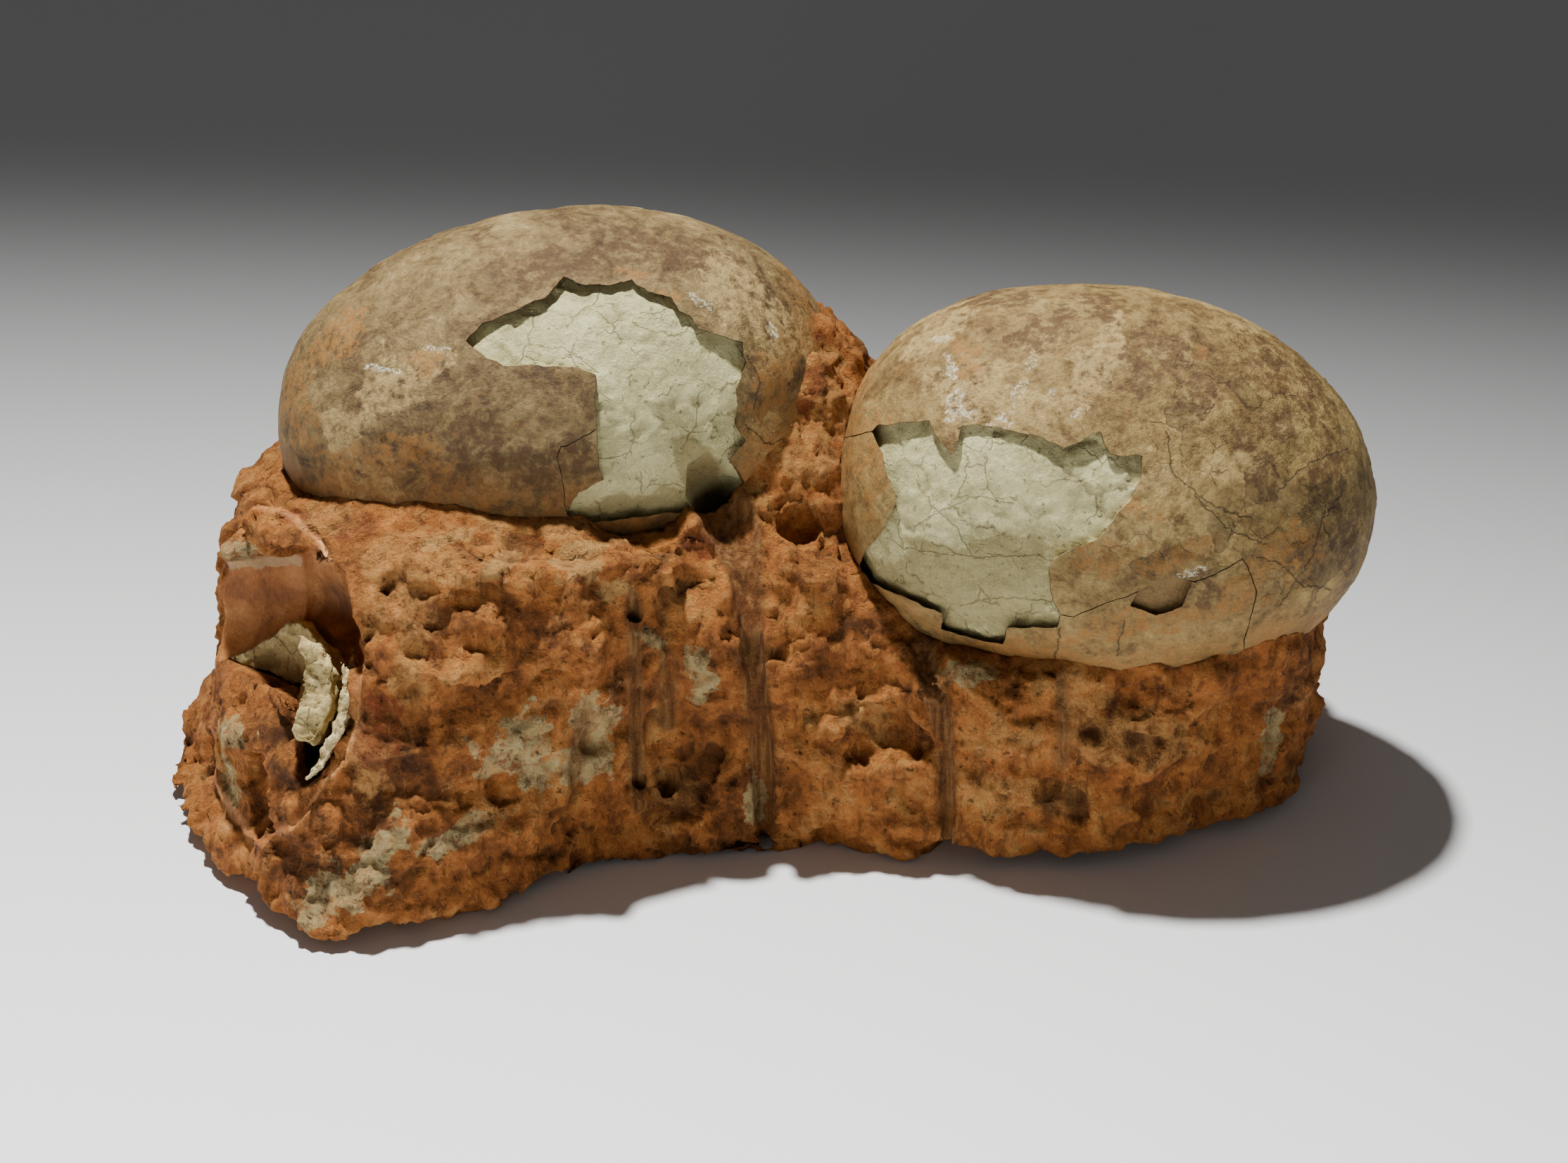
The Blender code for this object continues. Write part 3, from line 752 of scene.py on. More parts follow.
LEFT_EGG_TONES = [
    (0.066, 0.036, 0.013), (0.14, 0.084, 0.030), (0.21, 0.14, 0.051), (0.28, 0.19, 0.075),
    (0.39, 0.28, 0.12),
]
RIGHT_EGG_TONES = [
    (0.088, 0.048, 0.015), (0.20, 0.12, 0.038), (0.29, 0.19, 0.063), (0.37, 0.25, 0.088),
    (0.47, 0.34, 0.13),
]

# Patches in the window plane: right, up, half-width, half-height and, if turned, the degrees.
GREY_PATCHES = [
    (-71, 9, 11, 6.5, 30), (-66, 2, 7, 4), (-50, 14, 6, 9, -10), (-53, 4, 8, 5), (-21, 25, 4, 4),
    (-106, -21, 5, 13, -35), (-8, -6, 2.5, 7), (-84, -14, 8, 3.5, 30), (-22, 31, 4, 3),
    (-34, 37, 5, 2, -30), (131, 10, 3, 9), (-145, 12, 5, 4, 30), (-148, -2, 3, 8, 10),
    (-118, -30, 6, 8, -30), (48, 28, 6, 3), (-146, 60, 6, 3),
]
SAND_PATCHES = [
    (-98, 50, 11, 14), (-118, 68, 9, 4), (-85, 56, 10, 5, 10), (-60, 66, 14, 3), (-96, 30, 5, 10),
    (-108, 8, 6, 12, 20), (90, 10, 20, 8), (60, -4, 16, 5), (14, 96, 10, 8, 40), (2, 88, 12, 9),
    (22, 16, 9, 5), (-30, -2, 9, 5), (78, 22, 8, 5), (-70, 76, 20, 4, -8), (-40, 66, 10, 3),
    (10, 110, 6, 6),
]
YELLOW_PATCHES = [(-52, 57, 7, 5), (-73, 56, 5, 3.5), (-86, 63, 7, 2, 20), (-44, 50, 4, 3)]
RED_PATCHES = [
    (-128, 69, 4, 2), (8, 106, 5, 5, 30), (4, 98, 4, 4), (-20, 62, 7, 4), (-112, 66, 6, 3, 20),
    (-104, 14, 6, 10), (-14, 84, 5, 5),
]
MOULD_LEDGE = [(-140, 57.5, 12, 1.6, 4)]


def rock_material():
    look = Look("red_sandstone")
    large = look.noise(40, 3.0)
    middle = look.noise(12, 7.0, 0.66, 0.5, shift=(40, 0, 0))
    small = look.noise(3.0, 6.0, 0.7, shift=(0, 70, 0))
    grain = look.noise(0.8, 3.0, 0.75)
    tone = look.total((middle, 0.5), (large, 0.3), (small, 0.25))
    look.colour = look.ramp(
        tone, (0.39, 0.45, 0.505, 0.56, 0.64), (DEEP_RED, RUST, RED_ORANGE, ORANGE, SAND)
    )
    sand = look.patches(SAND_PATCHES, 0.8, 9.0)
    look.tint(look.times(sand, look.step(small, 0.30, 0.62)), 0.85, SAND)
    look.tint(look.patches(YELLOW_PATCHES, 0.9, 6.0), 0.8, YELLOW_SAND)
    look.tint(look.patches(RED_PATCHES, 0.8, 5.0), 0.6, (0.21, 0.032, 0.013))
    flecks = look.step(look.noise(5, 5.0, 0.75, shift=(9, 9, 9)), 0.66, 0.74)
    grey = look.highest(look.patches(GREY_PATCHES, 1.0, 6.0), look.times(flecks, 0.6))
    look.tint(look.times(grey, look.step(small, 0.28, 0.55)), 0.85, ROCK_GREY)
    # Dust lies on what faces up; ridges get a painted highlight, and dents, holes and pits are
    # painted dark as shade.
    dust = look.step(look.stored("upward"), 0.45, 0.95)
    look.tint(look.times(dust, look.step(small, 0.35, 0.6)), 0.5, (0.47, 0.20, 0.036))
    look.tint(look.times(look.stored("ridge_highlight"), look.step(small, 0.4, 0.6)), 0.45, SAND)
    look.tint(look.stored("hollow_shade"), 0.75, (0.100, 0.036, 0.010))
    # Pores: small pits painted dark as shade, over a dent in the bump.
    pores = look.step(look.noise(3.2, 5.0, 0.66, shift=(4, 4, 50)), 0.40, 0.32)
    look.tint(pores, 0.7, PIT_SHADE)
    # The chisel left short upright nicks: dark below as painted shade, and bright on their edges as
    # a painted highlight.
    nicks = look.noise(4.5, 8.0, 0.74, 0.7, squash=0.45)
    look.tint(look.step(nicks, 0.49, 0.38), 0.6, NICK_SHADE)
    look.tint(look.step(nicks, 0.55, 0.66), 0.5, NICK_HIGHLIGHT)
    # The drill's grooves are streaked brown along their length.
    streaks = look.noise(1.6, 4.0, squash=0.07)
    scraped = look.times(look.stored("scraped"), look.step(middle, 0.33, 0.5))
    scraped_colour = look.ramp(streaks, (0.38, 0.5, 0.62), SCRAPED_TONES)
    look.colour = look.mixed(look.times(scraped, 0.8), look.colour, scraped_colour)
    # The third egg's mould is smooth and brown; past the crease, where little light falls, its
    # brown is painted lighter, as painted light.
    mould = look.stored("mould")
    mould_tone = look.noise(11, 6.0, 0.6, 0.6, shift=(3, 50, 8))
    near, far = (look.ramp(mould_tone, (0.34, 0.5, 0.66), t) for t in (MOULD_TONES, LUNE_LIGHTENED_TONES))
    past = look.step(part_of(look.tree, look.window, 0), CREASE - 0.6, CREASE + 0.6)
    ledge = look.times(look.patches(MOULD_LEDGE, 0.8, 5.0), 0.4)
    mould_colour = look.mixed(ledge, look.mixed(past, near, far), (0.53, 0.47, 0.27, 1.0))
    look.colour = look.mixed(mould, look.colour, mould_colour)
    look.speckle(grain, 0.42)
    height = look.total((small, 2.0), (grain, 0.6), (pores, -0.5), (nicks, 3.0))
    height = look.times(height, look.raised(1.0, mould, -0.85))
    return look.finish(look.raised(0.95, mould, -0.4), height)


# The markings of the two eggs, in the same plane.
DARK_BLOTCHES = [
    (-78, 88, 10, 7), (-66, 80, 8, 6, -20), (-84, 78, 8, 4), (-56, 84, 8, 5), (-52, 74, 6, 4),
    (-30, 138, 14, 4), (-60, 134, 12, 5, 10), (66, 116, 8, 6, 20), (58, 126, 8, 3),
    (82, 124, 5, 4), (127, 108, 6, 7, -40), (138, 98, 5, 9, 20), (128, 92, 4, 6),
    (98, 112, 6, 5, -30), (90, 106, 5, 7, -20), (106, 100, 6, 5), (104, 50, 7, 5, 10),
    (140, 78, 6, 9, 10), (116, 90, 5, 4), (122, 78, 4, 5), (146, 66, 4, 7), (72, 122, 4, 3),
]
CREAM_PATCHES = [
    (-13, 128, 12, 7, -35), (0, 116, 7, 10, -20), (-100, 104, 12, 7, 30), (-115, 90, 7, 7),
    (46, 100, 10, 9), (80, 108, 5, 15, -30), (58, 96, 12, 6), (122, 124, 9, 6, -30),
    (84, 66, 14, 8, -15), (106, 64, 9, 7), (-4, 88, 4, 8), (-108, 78, 8, 6), (40, 118, 10, 5, 30),
    (96, 78, 7, 5), (112, 82, 6, 5), (66, 82, 5, 3, 20),
]
RUSTY_PATCHES = [
    (-118, 114, 10, 6, 40), (-128, 98, 6, 13), (46, 112, 5, 3), (107, 110.5, 2.2, 1.8),
    (46, 106, 4, 3), (84, 74, 12, 4, -30), (-92, 108, 5, 3), (22, 84, 5, 12), (-4, 104, 5, 8, -20),
    (80, 58, 8, 4), (94, 42, 20, 4, 10), (-100, 84, 16, 5), (60, 34, 12, 4), (130, 60, 10, 6, 30),
    (-40, 132, 8, 2), (100, 58, 8, 3, 20), (118, 48, 8, 4), (-30, 126, 4, 2),
]
CALCITE = [
    (43, 107, 1.4, 4.5, 10), (44, 98, 2.0, 5, -10), (48, 94.5, 2, 1.2), (63.5, 108, 1.2, 2.6, -25),
    (75, 95, 3, 0.9, 30), (56, 93, 2.5, 2.0), (-3, 118, 1.2, 2.6, 30), (-22, 125, 4, 1.2, -30),
    (103, 54, 4, 1.2, 15), (41, 115, 2.4, 1), (68, 100, 2.5, 0.8, 50), (-104, 107, 5, 0.8, -10),
    (60, 100, 1.4, 3, -30), (-90, 112, 3, 0.6),
]
EGG_CRACKS = [
    [(126, 75), (131.7, 80), (137.6, 83.5), (147, 86.5)],
    [(120.7, 58.6), (127, 57), (134, 51), (143, 50)],
    [(97, 90), (98.6, 79), (108, 71.5), (119, 68)],
    [(71, 40), (70.5, 31)],
    [(87, 42), (86.5, 33)],
    [(-10, 93), (-4, 88), (2, 90)],
    [(-9.5, 111), (-6, 104), (-8, 97)],
    [(142, 60), (139, 68), (145, 76)],
    [(128, 46), (136, 58), (140, 72)],
    [(104, 74), (112, 66), (122, 62)],
]
CRACKED_REGION = [(122, 84, 26, 30), (92, 66, 16, 10), (138, 62, 14, 20)]


def eggshell_material(name, tones, dark_amount):
    """The shell's surface; its five tones go from dark to light."""
    look = Look(name)
    large = look.noise(30, 5.0, 0.62, 0.6)
    middle = look.noise(9, 8.0, 0.7, 0.9, shift=(20, 4, 60))
    small = look.noise(2.6, 6.0, 0.72, shift=(8, 31, 2))
    fine = look.noise(0.9, 4.0, 0.78)
    tone = look.total((middle, 0.45), (large, 0.3), (small, 0.3))
    look.colour = look.ramp(tone, (0.41, 0.475, 0.525, 0.575, 0.64), tones)
    cream = look.times(look.patches(CREAM_PATCHES, 1.0, 9.0), look.step(small, 0.34, 0.6))
    look.tint(cream, 0.72, (0.54, 0.38, 0.15))
    rust_spots = look.step(look.noise(8, 6.0, 0.75, shift=(7, 7, 77)), 0.56, 0.70)
    rusty = look.highest(look.patches(RUSTY_PATCHES, 1.0, 8.0), look.times(rust_spots, 0.6))
    look.tint(look.times(rusty, look.step(small, 0.38, 0.60)), 0.8, (0.35, 0.155, 0.034))
    specks = look.step(look.noise(7, 7.0, 0.78, shift=(77, 7, 7)), 0.53, 0.61)
    dark = look.highest(look.patches(DARK_BLOTCHES, 1.0, 6.0), look.times(specks, dark_amount))
    look.tint(look.times(dark, look.step(small, 0.68, 0.42)), 0.78, DARK_BROWN)
    # Red dust of the rock on the part of the shell next to it.
    dusty = look.times(look.stored("dusty"), look.step(middle, 0.36, 0.62))
    look.tint(dusty, 0.72, (0.33, 0.135, 0.030))
    # White calcite in thin broken streaks.
    fibres = look.step(look.noise(1.2, 6.0, 0.8, 0.6, shift=(5, 90, 5)), 0.48, 0.56)
    calcite = look.times(look.patches(CALCITE, 1.0, 3.0), fibres)
    scratches = look.step(look.noise(6, 8.0, 0.82, 1.2, shift=(50, 9, 5)), 0.67, 0.72)
    calcite = look.highest(calcite, look.times(scratches, 0.7))
    look.tint(calcite, 0.75, CALCITE_WHITE)
    # Hairline cracks: a net of them on the far right, and the long ones.
    net, cell_shade = look.mosaic(9.0, 0.20)
    region = look.patches(CRACKED_REGION, 0.8, 12.0)
    broken_up = look.step(look.noise(6, 3.0, shift=(66, 6, 6)), 0.42, 0.58)
    net = look.times(look.times(net, region), broken_up)
    cell_tone = look.times(calc(look.tree, "SUBTRACT", cell_shade, 0.5), region)
    look.speckle(look.raised(0.5, cell_tone, 0.28), 1.0)
    lines = look.cracks(EGG_CRACKS, 0.3)
    look.tint(net, 0.5, (0.063, 0.032, 0.011))
    look.tint(lines, 0.65, (0.055, 0.028, 0.010))
    look.tint(look.step(fine, 0.36, 0.30), 0.5, (0.084, 0.049, 0.018))
    look.speckle(fine, 0.55)
    height = look.total(
        (small, 0.65), (fine, 0.22), (middle, 0.9), (lines, -0.35), (net, -0.15), (cell_tone, 0.30)
    )
    return look.finish(look.raised(0.45, small, 0.35), height)


def broken_edge_material():
    """The shell's broken edge: dark brown, partly its own colour and partly painted shade, with
    pale crystals where it faces up, lit there as a painted highlight.
    """
    look = Look("broken_edge")
    tone = look.noise(1.5, 4.0, 0.7)
    look.colour = look.ramp(tone, (0.38, 0.5, 0.64), EDGE_BROWN_AND_SHADE_TONES)
    # A painted highlight: the edge is paler where it faces up.
    pale = look.times(look.stored("upward"), look.step(tone, 0.36, 0.52))
    look.tint(pale, 0.85, (0.66, 0.56, 0.33))
    return look.finish(look.raised(0.6, tone, 0.3), tone, 0.5)


def rim_strip_material():
    """The third egg's thick strip of shell: pale, with black specks."""
    look = Look("pale_shell_strip")
    tone = look.noise(3.0, 5.0, 0.7)
    look.colour = look.ramp(tone, (0.35, 0.47, 0.62), STRIP_TONES)
    specks = look.step(look.noise(1.6, 3.0, 0.7, shift=(6, 60, 6)), 0.60, 0.66)
    look.tint(specks, 0.85, (0.040, 0.029, 0.015))
    return look.finish(look.raised(0.6, tone, 0.3), tone, 0.8)


FILL_CRACKS = [
    [(34, 78), (38, 72), (44, 66), (49, 58)],
    [(46, 87), (50, 85), (54, 90)],
    [(34, 66), (40, 70), (49, 74), (58, 72)],
    [(38, 62), (48, 58), (60, 59), (70, 57)],
    [(46, 46), (56, 48), (70, 47)],
    [(-38, 118), (-30, 116), (-20, 117)],
    [(-66, 113), (-56, 112), (-48, 106)],
]
FILL_PALE = [(45, 86, 3, 5), (42, 66, 4, 7, 10), (52, 70, 3, 3), (-52, 112, 6, 5), (-36, 84, 5, 6)]
# Painted shade on the fills' lower parts and in their scoops.
FILL_SHADE_PATCHES = [(46, 50, 30, 13), (-30, 68, 22, 8), (-22, 80, 5, 9, 20), (-143, 30, 8, 3)]
# The chip's recess: partly its own brown and partly painted shade.
CHIP_BROWN_AND_SHADE = [(98, 49, 13, 9)]


def fill_material(name, tones):
    """The grey-green stone inside the eggs; its four tones go from dark to light."""
    look = Look(name)
    large = look.noise(26, 4.0, 0.6)
    middle = look.noise(7, 7.0, 0.7, 0.5, shift=(12, 40, 6))
    small = look.noise(2.4, 5.0, 0.7, shift=(2, 4, 66))
    grain = look.noise(0.8, 4.0, 0.78)
    tone = look.total((middle, 0.4), (large, 0.35), (small, 0.25))
    look.colour = look.ramp(tone, (0.38, 0.46, 0.53, 0.64), tones)
    look.tint(look.patches(FILL_PALE, 0.8, 5.0), 0.6, (0.82, 0.75, 0.40))
    # Painted shade on the lower parts of the fill and in its scoops.
    look.tint(look.patches(FILL_SHADE_PATCHES, 0.5, 10.0), 0.62, (0.30, 0.23, 0.090))
    rusty = look.step(look.noise(9, 6.0, 0.72, shift=(60, 3, 9)), 0.60, 0.72)
    look.tint(rusty, 0.3, (0.52, 0.32, 0.090))
    # The chip's recess is painted brown and dark, partly its own colour and partly painted shade.
    look.tint(look.patches(CHIP_BROWN_AND_SHADE, 0.3, 5.0), 0.9, (0.24, 0.13, 0.045))
    # Painted shade where the fill lies deep below the shell's inner face.
    look.tint(look.stored("hollow_shade"), 0.6, (0.20, 0.12, 0.037))
    chinks, _ = look.mosaic(13.0, 0.22)
    broken_up = look.step(look.noise(6, 3.0, shift=(16, 6, 6)), 0.44, 0.56)
    lines = look.highest(look.cracks(FILL_CRACKS, 0.22), look.times(chinks, broken_up))
    specks = look.step(look.noise(1.7, 3.0, shift=(1, 2, 90)), 0.64, 0.70)
    look.tint(lines, 0.5, (0.15, 0.11, 0.038))
    look.tint(specks, 0.55, (0.20, 0.15, 0.054))
    look.speckle(grain, 0.35)
    height = look.total(
        (middle, 0.9), (grain, 0.40), (small, 0.75), (lines, -0.30), (specks, -0.25)
    )
    return look.finish(look.raised(0.88, grain, 0.1), height)


ROCK_LOOK = rock_material()
LEFT_SHELL_LOOK = eggshell_material("left_eggshell_surface", LEFT_EGG_TONES, 0.6)
RIGHT_SHELL_LOOK = eggshell_material("right_eggshell_surface", RIGHT_EGG_TONES, 0.5)
EDGE_LOOK = broken_edge_material()
STRIP_LOOK = rim_strip_material()
FILL_LOOK = fill_material("grey_green_fill", FILL_TONES)
REMNANT_LOOK = fill_material("third_egg_fill", REMNANT_TONES)

# --- Pieces ------------------------------------------------------------------------------------


def place_piece(obj, node, slot, *looks):
    for look in looks:
        obj.data.materials.append(look)
    obj.data.shade_smooth()
    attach(obj, "root")
    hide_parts(node)
    return obj


def shell_relief(points):
    """The unevenness of an eggshell, in millimetres."""
    slow = noise_array(points, 30, 1, 3)
    fast = noise_array(points, 7, 2, 4)
    flakes = smoothstep(0.12, 0.2, noise_array(points, 13, 3, 5))
    return 0.45 * slow + 0.22 * fast - 0.28 * flakes


def dense_egg(egg, name):
    obj = egg_object(egg, 0.0, EGG_DETAIL, name)
    points = read(obj.data.vertices, "co")
    relief = shell_relief(points)
    set_vertices(obj.data, points + egg_outward(egg, points) * relief[:, None] * MM)
    return obj


def edge_lift(mesh, broken, normals):
    """For each vertex, how much the broken faces round it look up."""
    lift = np.full(len(mesh.vertices), -1.0)
    for face in np.nonzero(broken)[0]:
        for vertex in mesh.polygons[face].vertices:
            lift[vertex] = max(lift[vertex], normals[face][2])
    return lift


def finish_shell(obj, egg, node, look):
    """Broken edges get their own material, and the vertices their masks."""
    keep_largest(obj)
    mesh = obj.data
    centres = read(mesh.polygons, "center")
    normals = read(mesh.polygons, "normal")
    depth = egg_distance(egg, centres)
    facing = np.sum(normals * egg_outward(egg, centres), axis=1)
    broken = (np.abs(facing) < 0.7) & (depth < 0.6) & (depth > -SHELL - 0.2)
    mesh.polygons.foreach_set("material_index", broken.astype(np.int32))
    # How far the broken edge faces up, for its painted highlight.
    store(mesh, "upward", smoothstep(0.15, 0.7, edge_lift(mesh, broken, normals)))
    points = read(mesh.vertices, "co")
    gaps = np.array([ROCK_TREE.find_nearest(Vector(p))[3] for p in points]) / MM
    store(mesh, "dusty", smoothstep(17.0, 1.0, gaps))
    place_piece(obj, node, "eggshell", look, EDGE_LOOK)
    mesh.set_sharp_from_angle(angle=math.radians(50))
    return obj


def make_shell(egg, window, plates, node, look, groove=False):
    obj = dense_egg(egg, node + "_surface")
    boolean(obj, "DIFFERENCE", egg_object(egg, -SHELL, INSIDE_DETAIL, "inside"))
    opening = opening_outline([window] + plates)
    boolean(obj, "DIFFERENCE", prism(ragged(opening), egg["centre"], 0))
    if groove:
        boolean(obj, "DIFFERENCE", groove_cutter())
    return finish_shell(obj, egg, node, look)


def make_plate(egg, outline, node, look, chip=None):
    obj = dense_egg(egg, node + "_surface")
    boolean(obj, "INTERSECT", prism(ragged(inset(outline, CRACK)), egg["centre"], CRACK))
    boolean(obj, "DIFFERENCE", egg_object(egg, -SHELL, INSIDE_DETAIL, "inside"))
    if chip:
        boolean(obj, "DIFFERENCE", prism(ragged(chip), egg["centre"], 0))
    return finish_shell(obj, egg, node, look)


def make_fill(egg, node, groove=False):
    """The stone inside an egg, worn a little below the shell's inner face."""
    obj = egg_object(egg, -SHELL, EGG_DETAIL, node + "_surface")
    points = read(obj.data.vertices, "co")
    slow = noise_array(points, 16, 5, 4)
    ledges = facets(points, (15, 15, 10), 2)
    rough = noise_array(points, 3.2, 6, 4)
    sunk = 0.15 - 0.8 * slow + 0.9 * ledges - 0.35 * rough
    sunk = np.clip(sunk, -0.9, 1.4)
    set_vertices(obj.data, points - egg_outward(egg, points) * sunk[:, None] * MM)
    if groove:
        boolean(obj, "DIFFERENCE", groove_cutter())
    # Where the fill lies deep below the shell's inner face, the material paints it darker, as
    # shade.
    points = read(obj.data.vertices, "co")
    depth = -egg_distance(egg, points) - SHELL
    store(obj.data, "hollow_shade", smoothstep(1.6, 4.0, depth))
    return place_piece(obj, node, "fill", FILL_LOOK)


def make_rock():
    """The block, from a merged copy of its solid: its facets are smoothed out, then it gets lumps,
    chisel dents, crumbs, holes and clefts, and it is closed up against the eggs and the fill."""
    obj = copy_of_node("sandstone_block", "sandstone_surface")
    apply_modifier(obj, "REMESH", mode="VOXEL", voxel_size=ROCK_CELL * MM)
    apply_modifier(obj, "SMOOTH", factor=0.5, iterations=6)
    mesh = obj.data
    points = read(mesh.vertices, "co")
    normals = read(mesh.vertices, "normal")
    window = window_frame(points)
    mould = smoothstep(1.6, 0.5, np.abs(egg_distance(THIRD_EGG, points)))
    scraped = np.zeros(len(points))
    for line in DRILL_GROOVES:
        gap = line_distance(window[:, :2], line)
        scraped = np.maximum(scraped, smoothstep(1.0, -1.0, gap))
    scraped *= smoothstep(20.0, 45.0, window[:, 2])
    egg_gap = np.minimum(egg_distance(LEFT_EGG, points), egg_distance(RIGHT_EGG, points))

    lumps = noise_array(points, 26, 11, 3)
    broad = facets(points, (21, 21, 15), 4)
    small = facets(points, (8.5, 8.5, 6), 7)
    dents = scoops(points, (17, 17, 14), 5)
    crumbs = noise_array(points, 4.2, 12, 4)
    scratched = noise_array(points * np.array((1, 1, 0.12)), 4.5, 13, 3)
    holes = smoothstep(0.50, 0.68, noise_array(points, 9.0, 14, 4))
    clefts = smoothstep(1.15, 1.75, noise_array(points, 15, 15, 4, ridged=True))
    rough = 1.1 * lumps + 2.4 * broad + 1.3 * small + 1.3 * (dents + 0.3) + 0.5 * crumbs
    rough += 0.9 * scratched - 0.8 * holes - 0.7 * clefts
    calm = 1 - 0.93 * mould
    calm *= 1 - 0.75 * scraped
    calm *= smoothstep(-0.5, 5.0, egg_gap) * 0.85 + 0.15
    move = rough * calm - 0.3 * calm
    # Past its crease the mould is deeper.
    move -= 1.6 * mould * smoothstep(CREASE - 0.8, CREASE + 0.8, window[:, 0])
    points = points + normals * move[:, None] * MM
    # The rock is lower along the foot of the left egg's window, so that the shell's edge shows.
    foot = smoothstep(-52, -47, window[:, 0]) * smoothstep(-24, -29, window[:, 0])
    foot *= smoothstep(58, 64, window[:, 1]) * smoothstep(14.0, 6.0, egg_gap)
    points[:, 2] -= 4.0 * MM * foot

    # Close the rock up against the shells.
    for egg in (LEFT_EGG, RIGHT_EGG):
        gap = egg_distance(egg, points)
        pull = smoothstep(3.6, 0.5, gap - 0.8 * crumbs) * (gap + 0.45)
        points = points - egg_outward(egg, points) * pull[:, None] * MM
    # And against what is left of the third egg's fill.
    remnant = copy_of_node("third_fill_remnant", "remnant_guide")
    tree = BVHTree.FromPolygons(
        [v.co for v in remnant.data.vertices], [tuple(p.vertices) for p in remnant.data.polygons]
    )
    bpy.data.objects.remove(remnant)
    for index in np.nonzero(egg_distance(THIRD_EGG, points) < 12.0)[0]:
        nearest, _, _, gap = tree.find_nearest(Vector(points[index]), FILL_REACH * MM)
        if nearest is not None:
            share = float(smoothstep(FILL_REACH, 2.5, gap / MM)) * 0.95
            points[index] += (np.array(nearest) - points[index]) * share
    low, high = np.array(CAD_BOX)
    set_vertices(mesh, np.clip(points, low, high))

    # What is hidden or at the back needs fewer faces.
    hidden = ((egg_gap < 0.9) & (egg_gap > -1)) | (points[:, 2] < 0.4 * MM)
    group = obj.vertex_groups.new(name="hidden")
    group.add([int(i) for i in np.nonzero(hidden)[0]], 1.0, "REPLACE")
    back = ~hidden & (window[:, 2] < 0)
    group.add([int(i) for i in np.nonzero(back)[0]], BACK_WEIGHT, "REPLACE")
    store(mesh, "mould", mould)
    store(mesh, "scraped", scraped)
    # Masks for the material: painted shade in holes, clefts and deep dents, and a painted highlight
    # on the ridges.
    deep = rough - 1.3 * lumps
    hollow_shade = 0.4 * holes + 0.35 * clefts + smoothstep(-0.6, -2.4, deep)
    store(mesh, "hollow_shade", np.clip(hollow_shade, 0, 1) * calm)
    store(mesh, "ridge_highlight", smoothstep(0.5, 1.8, deep) * calm)
    triangles = 2 * len(mesh.polygons)
    apply_modifier(
        obj, "DECIMATE", ratio=min(1.0, ROCK_FACES / triangles), vertex_group="hidden",
        vertex_group_factor=8.0,
    )
    set_vertices(obj.data, np.clip(read(obj.data.vertices, "co"), low, high))
    store(obj.data, "upward", read(obj.data.vertices, "normal")[:, 2])
    return place_piece(obj, "sandstone_block", "rock", ROCK_LOOK)


def make_remnant(node, slot, look, voxel, size, amount):
    """A small solid of the third egg, weathered."""
    obj = copy_of_node(node, node + "_surface")
    apply_modifier(obj, "REMESH", mode="VOXEL", voxel_size=voxel * MM)
    apply_modifier(obj, "SMOOTH", factor=0.5, iterations=3)
    points = read(obj.data.vertices, "co")
    normals = read(obj.data.vertices, "normal")
    rough = noise_array(points, size, 21, 5) + 0.8 * facets(points, (size,) * 3, 9)
    set_vertices(obj.data, points + normals * (rough - 0.2)[:, None] * amount * MM)
    # Painted shade in the dents.
    store(obj.data, "hollow_shade", smoothstep(0.0, -0.6, rough) * 0.5)
    return place_piece(obj, node, slot, look)


ROCK = make_rock()
ROCK_TREE = BVHTree.FromObject(ROCK, bpy.context.evaluated_depsgraph_get())
make_shell(
    LEFT_EGG, LEFT_WINDOW, [LEFT_CORNER_PLATE], "left_eggshell", LEFT_SHELL_LOOK, groove=True
)
make_shell(
    RIGHT_EGG, RIGHT_WINDOW, [RIGHT_SIDE_FLAP, RIGHT_LOWER_BAND], "right_eggshell", RIGHT_SHELL_LOOK
)
make_plate(LEFT_EGG, LEFT_CORNER_PLATE, "left_corner_plate", LEFT_SHELL_LOOK)
make_plate(RIGHT_EGG, RIGHT_SIDE_FLAP, "right_side_flap", RIGHT_SHELL_LOOK)
make_plate(RIGHT_EGG, RIGHT_LOWER_BAND, "right_lower_band", RIGHT_SHELL_LOOK, chip=RIGHT_CHIP)
make_fill(LEFT_EGG, "left_fill", groove=True)
make_fill(RIGHT_EGG, "right_fill")
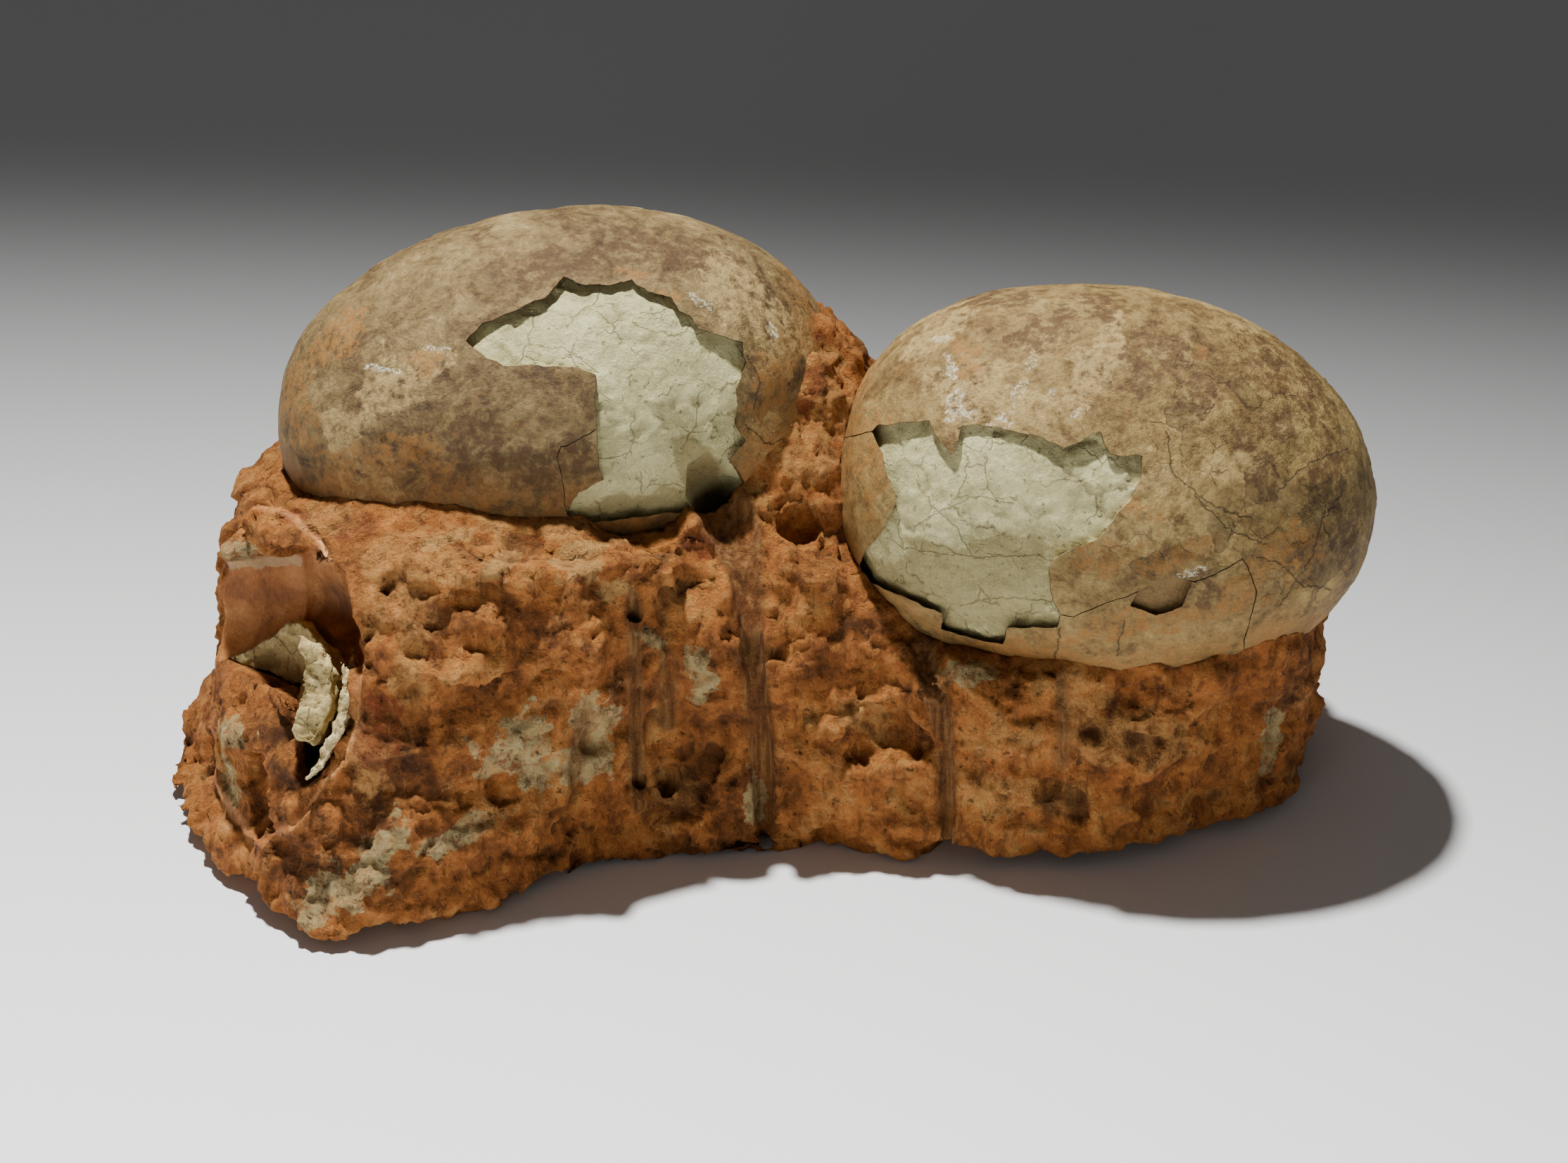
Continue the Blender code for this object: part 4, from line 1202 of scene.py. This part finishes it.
make_remnant("third_shell_strip", "eggshell", STRIP_LOOK, 0.45, 3.0, 0.7)
make_remnant("third_fill_remnant", "fill", REMNANT_LOOK, 0.6, 6.0, 1.5)

# --- Floor, lights and camera ------------------------------------------------------------------


def make_floor():
    bpy.ops.mesh.primitive_plane_add(size=8.0)
    floor = bpy.context.object
    floor.name = "floor"
    material, shader = new_material("pale_floor")
    shader.inputs["Base Color"].default_value = (0.85, 0.85, 0.85, 1.0)
    shader.inputs["Roughness"].default_value = 0.9
    shader.inputs["Specular IOR Level"].default_value = 0.1
    floor.data.materials.append(material)


def add_light(name, kind, place, target, energy, colour, **settings):
    data = bpy.data.lights.new(name, kind)
    data.energy = energy
    data.color = colour
    for key, value in settings.items():
        setattr(data, key, value)
    light = new_object(name, data)
    light.location = place
    light.rotation_mode = "QUATERNION"
    light.rotation_quaternion = (Vector(target) - Vector(place)).to_track_quat("-Z", "Y")


def make_lights():
    """A lamp high up and a little behind, which points over the specimen to the front, so that the
    floor grows darker towards the back, and a small, low and weak one in front."""
    add_light(
        "high_lamp", "SPOT", (-0.15, 0.22, 1.10), (-0.22, -0.72, 0.78), 255.0, (1.0, 1.0, 0.99),
        spot_size=math.radians(165), spot_blend=1.0, shadow_soft_size=0.035,
    )
    add_light(
        "front_lamp", "AREA", (-0.5, -1.10, 0.20), (0.0, 0.0, 0.07), 1.5, (1.0, 0.98, 0.95),
        shape="DISK", size=0.5,
    )
    world = bpy.data.worlds.new("studio")
    world.use_nodes = True
    background = world.node_tree.nodes["Background"]
    background.inputs["Color"].default_value = (1.0, 1.0, 1.0, 1.0)
    background.inputs["Strength"].default_value = 0.08
    bpy.context.scene.world = world


def make_camera():
    data = bpy.data.cameras.new("camera")
    data.lens = 85.0
    data.sensor_width = 36.0
    data.clip_start = 0.05
    camera = new_object("camera", data)
    camera.location = (0.0, -0.866, 0.56)
    camera.rotation_euler = (math.radians(60.0), 0.0, 0.0)
    bpy.context.scene.camera = camera


make_floor()
make_lights()
make_camera()
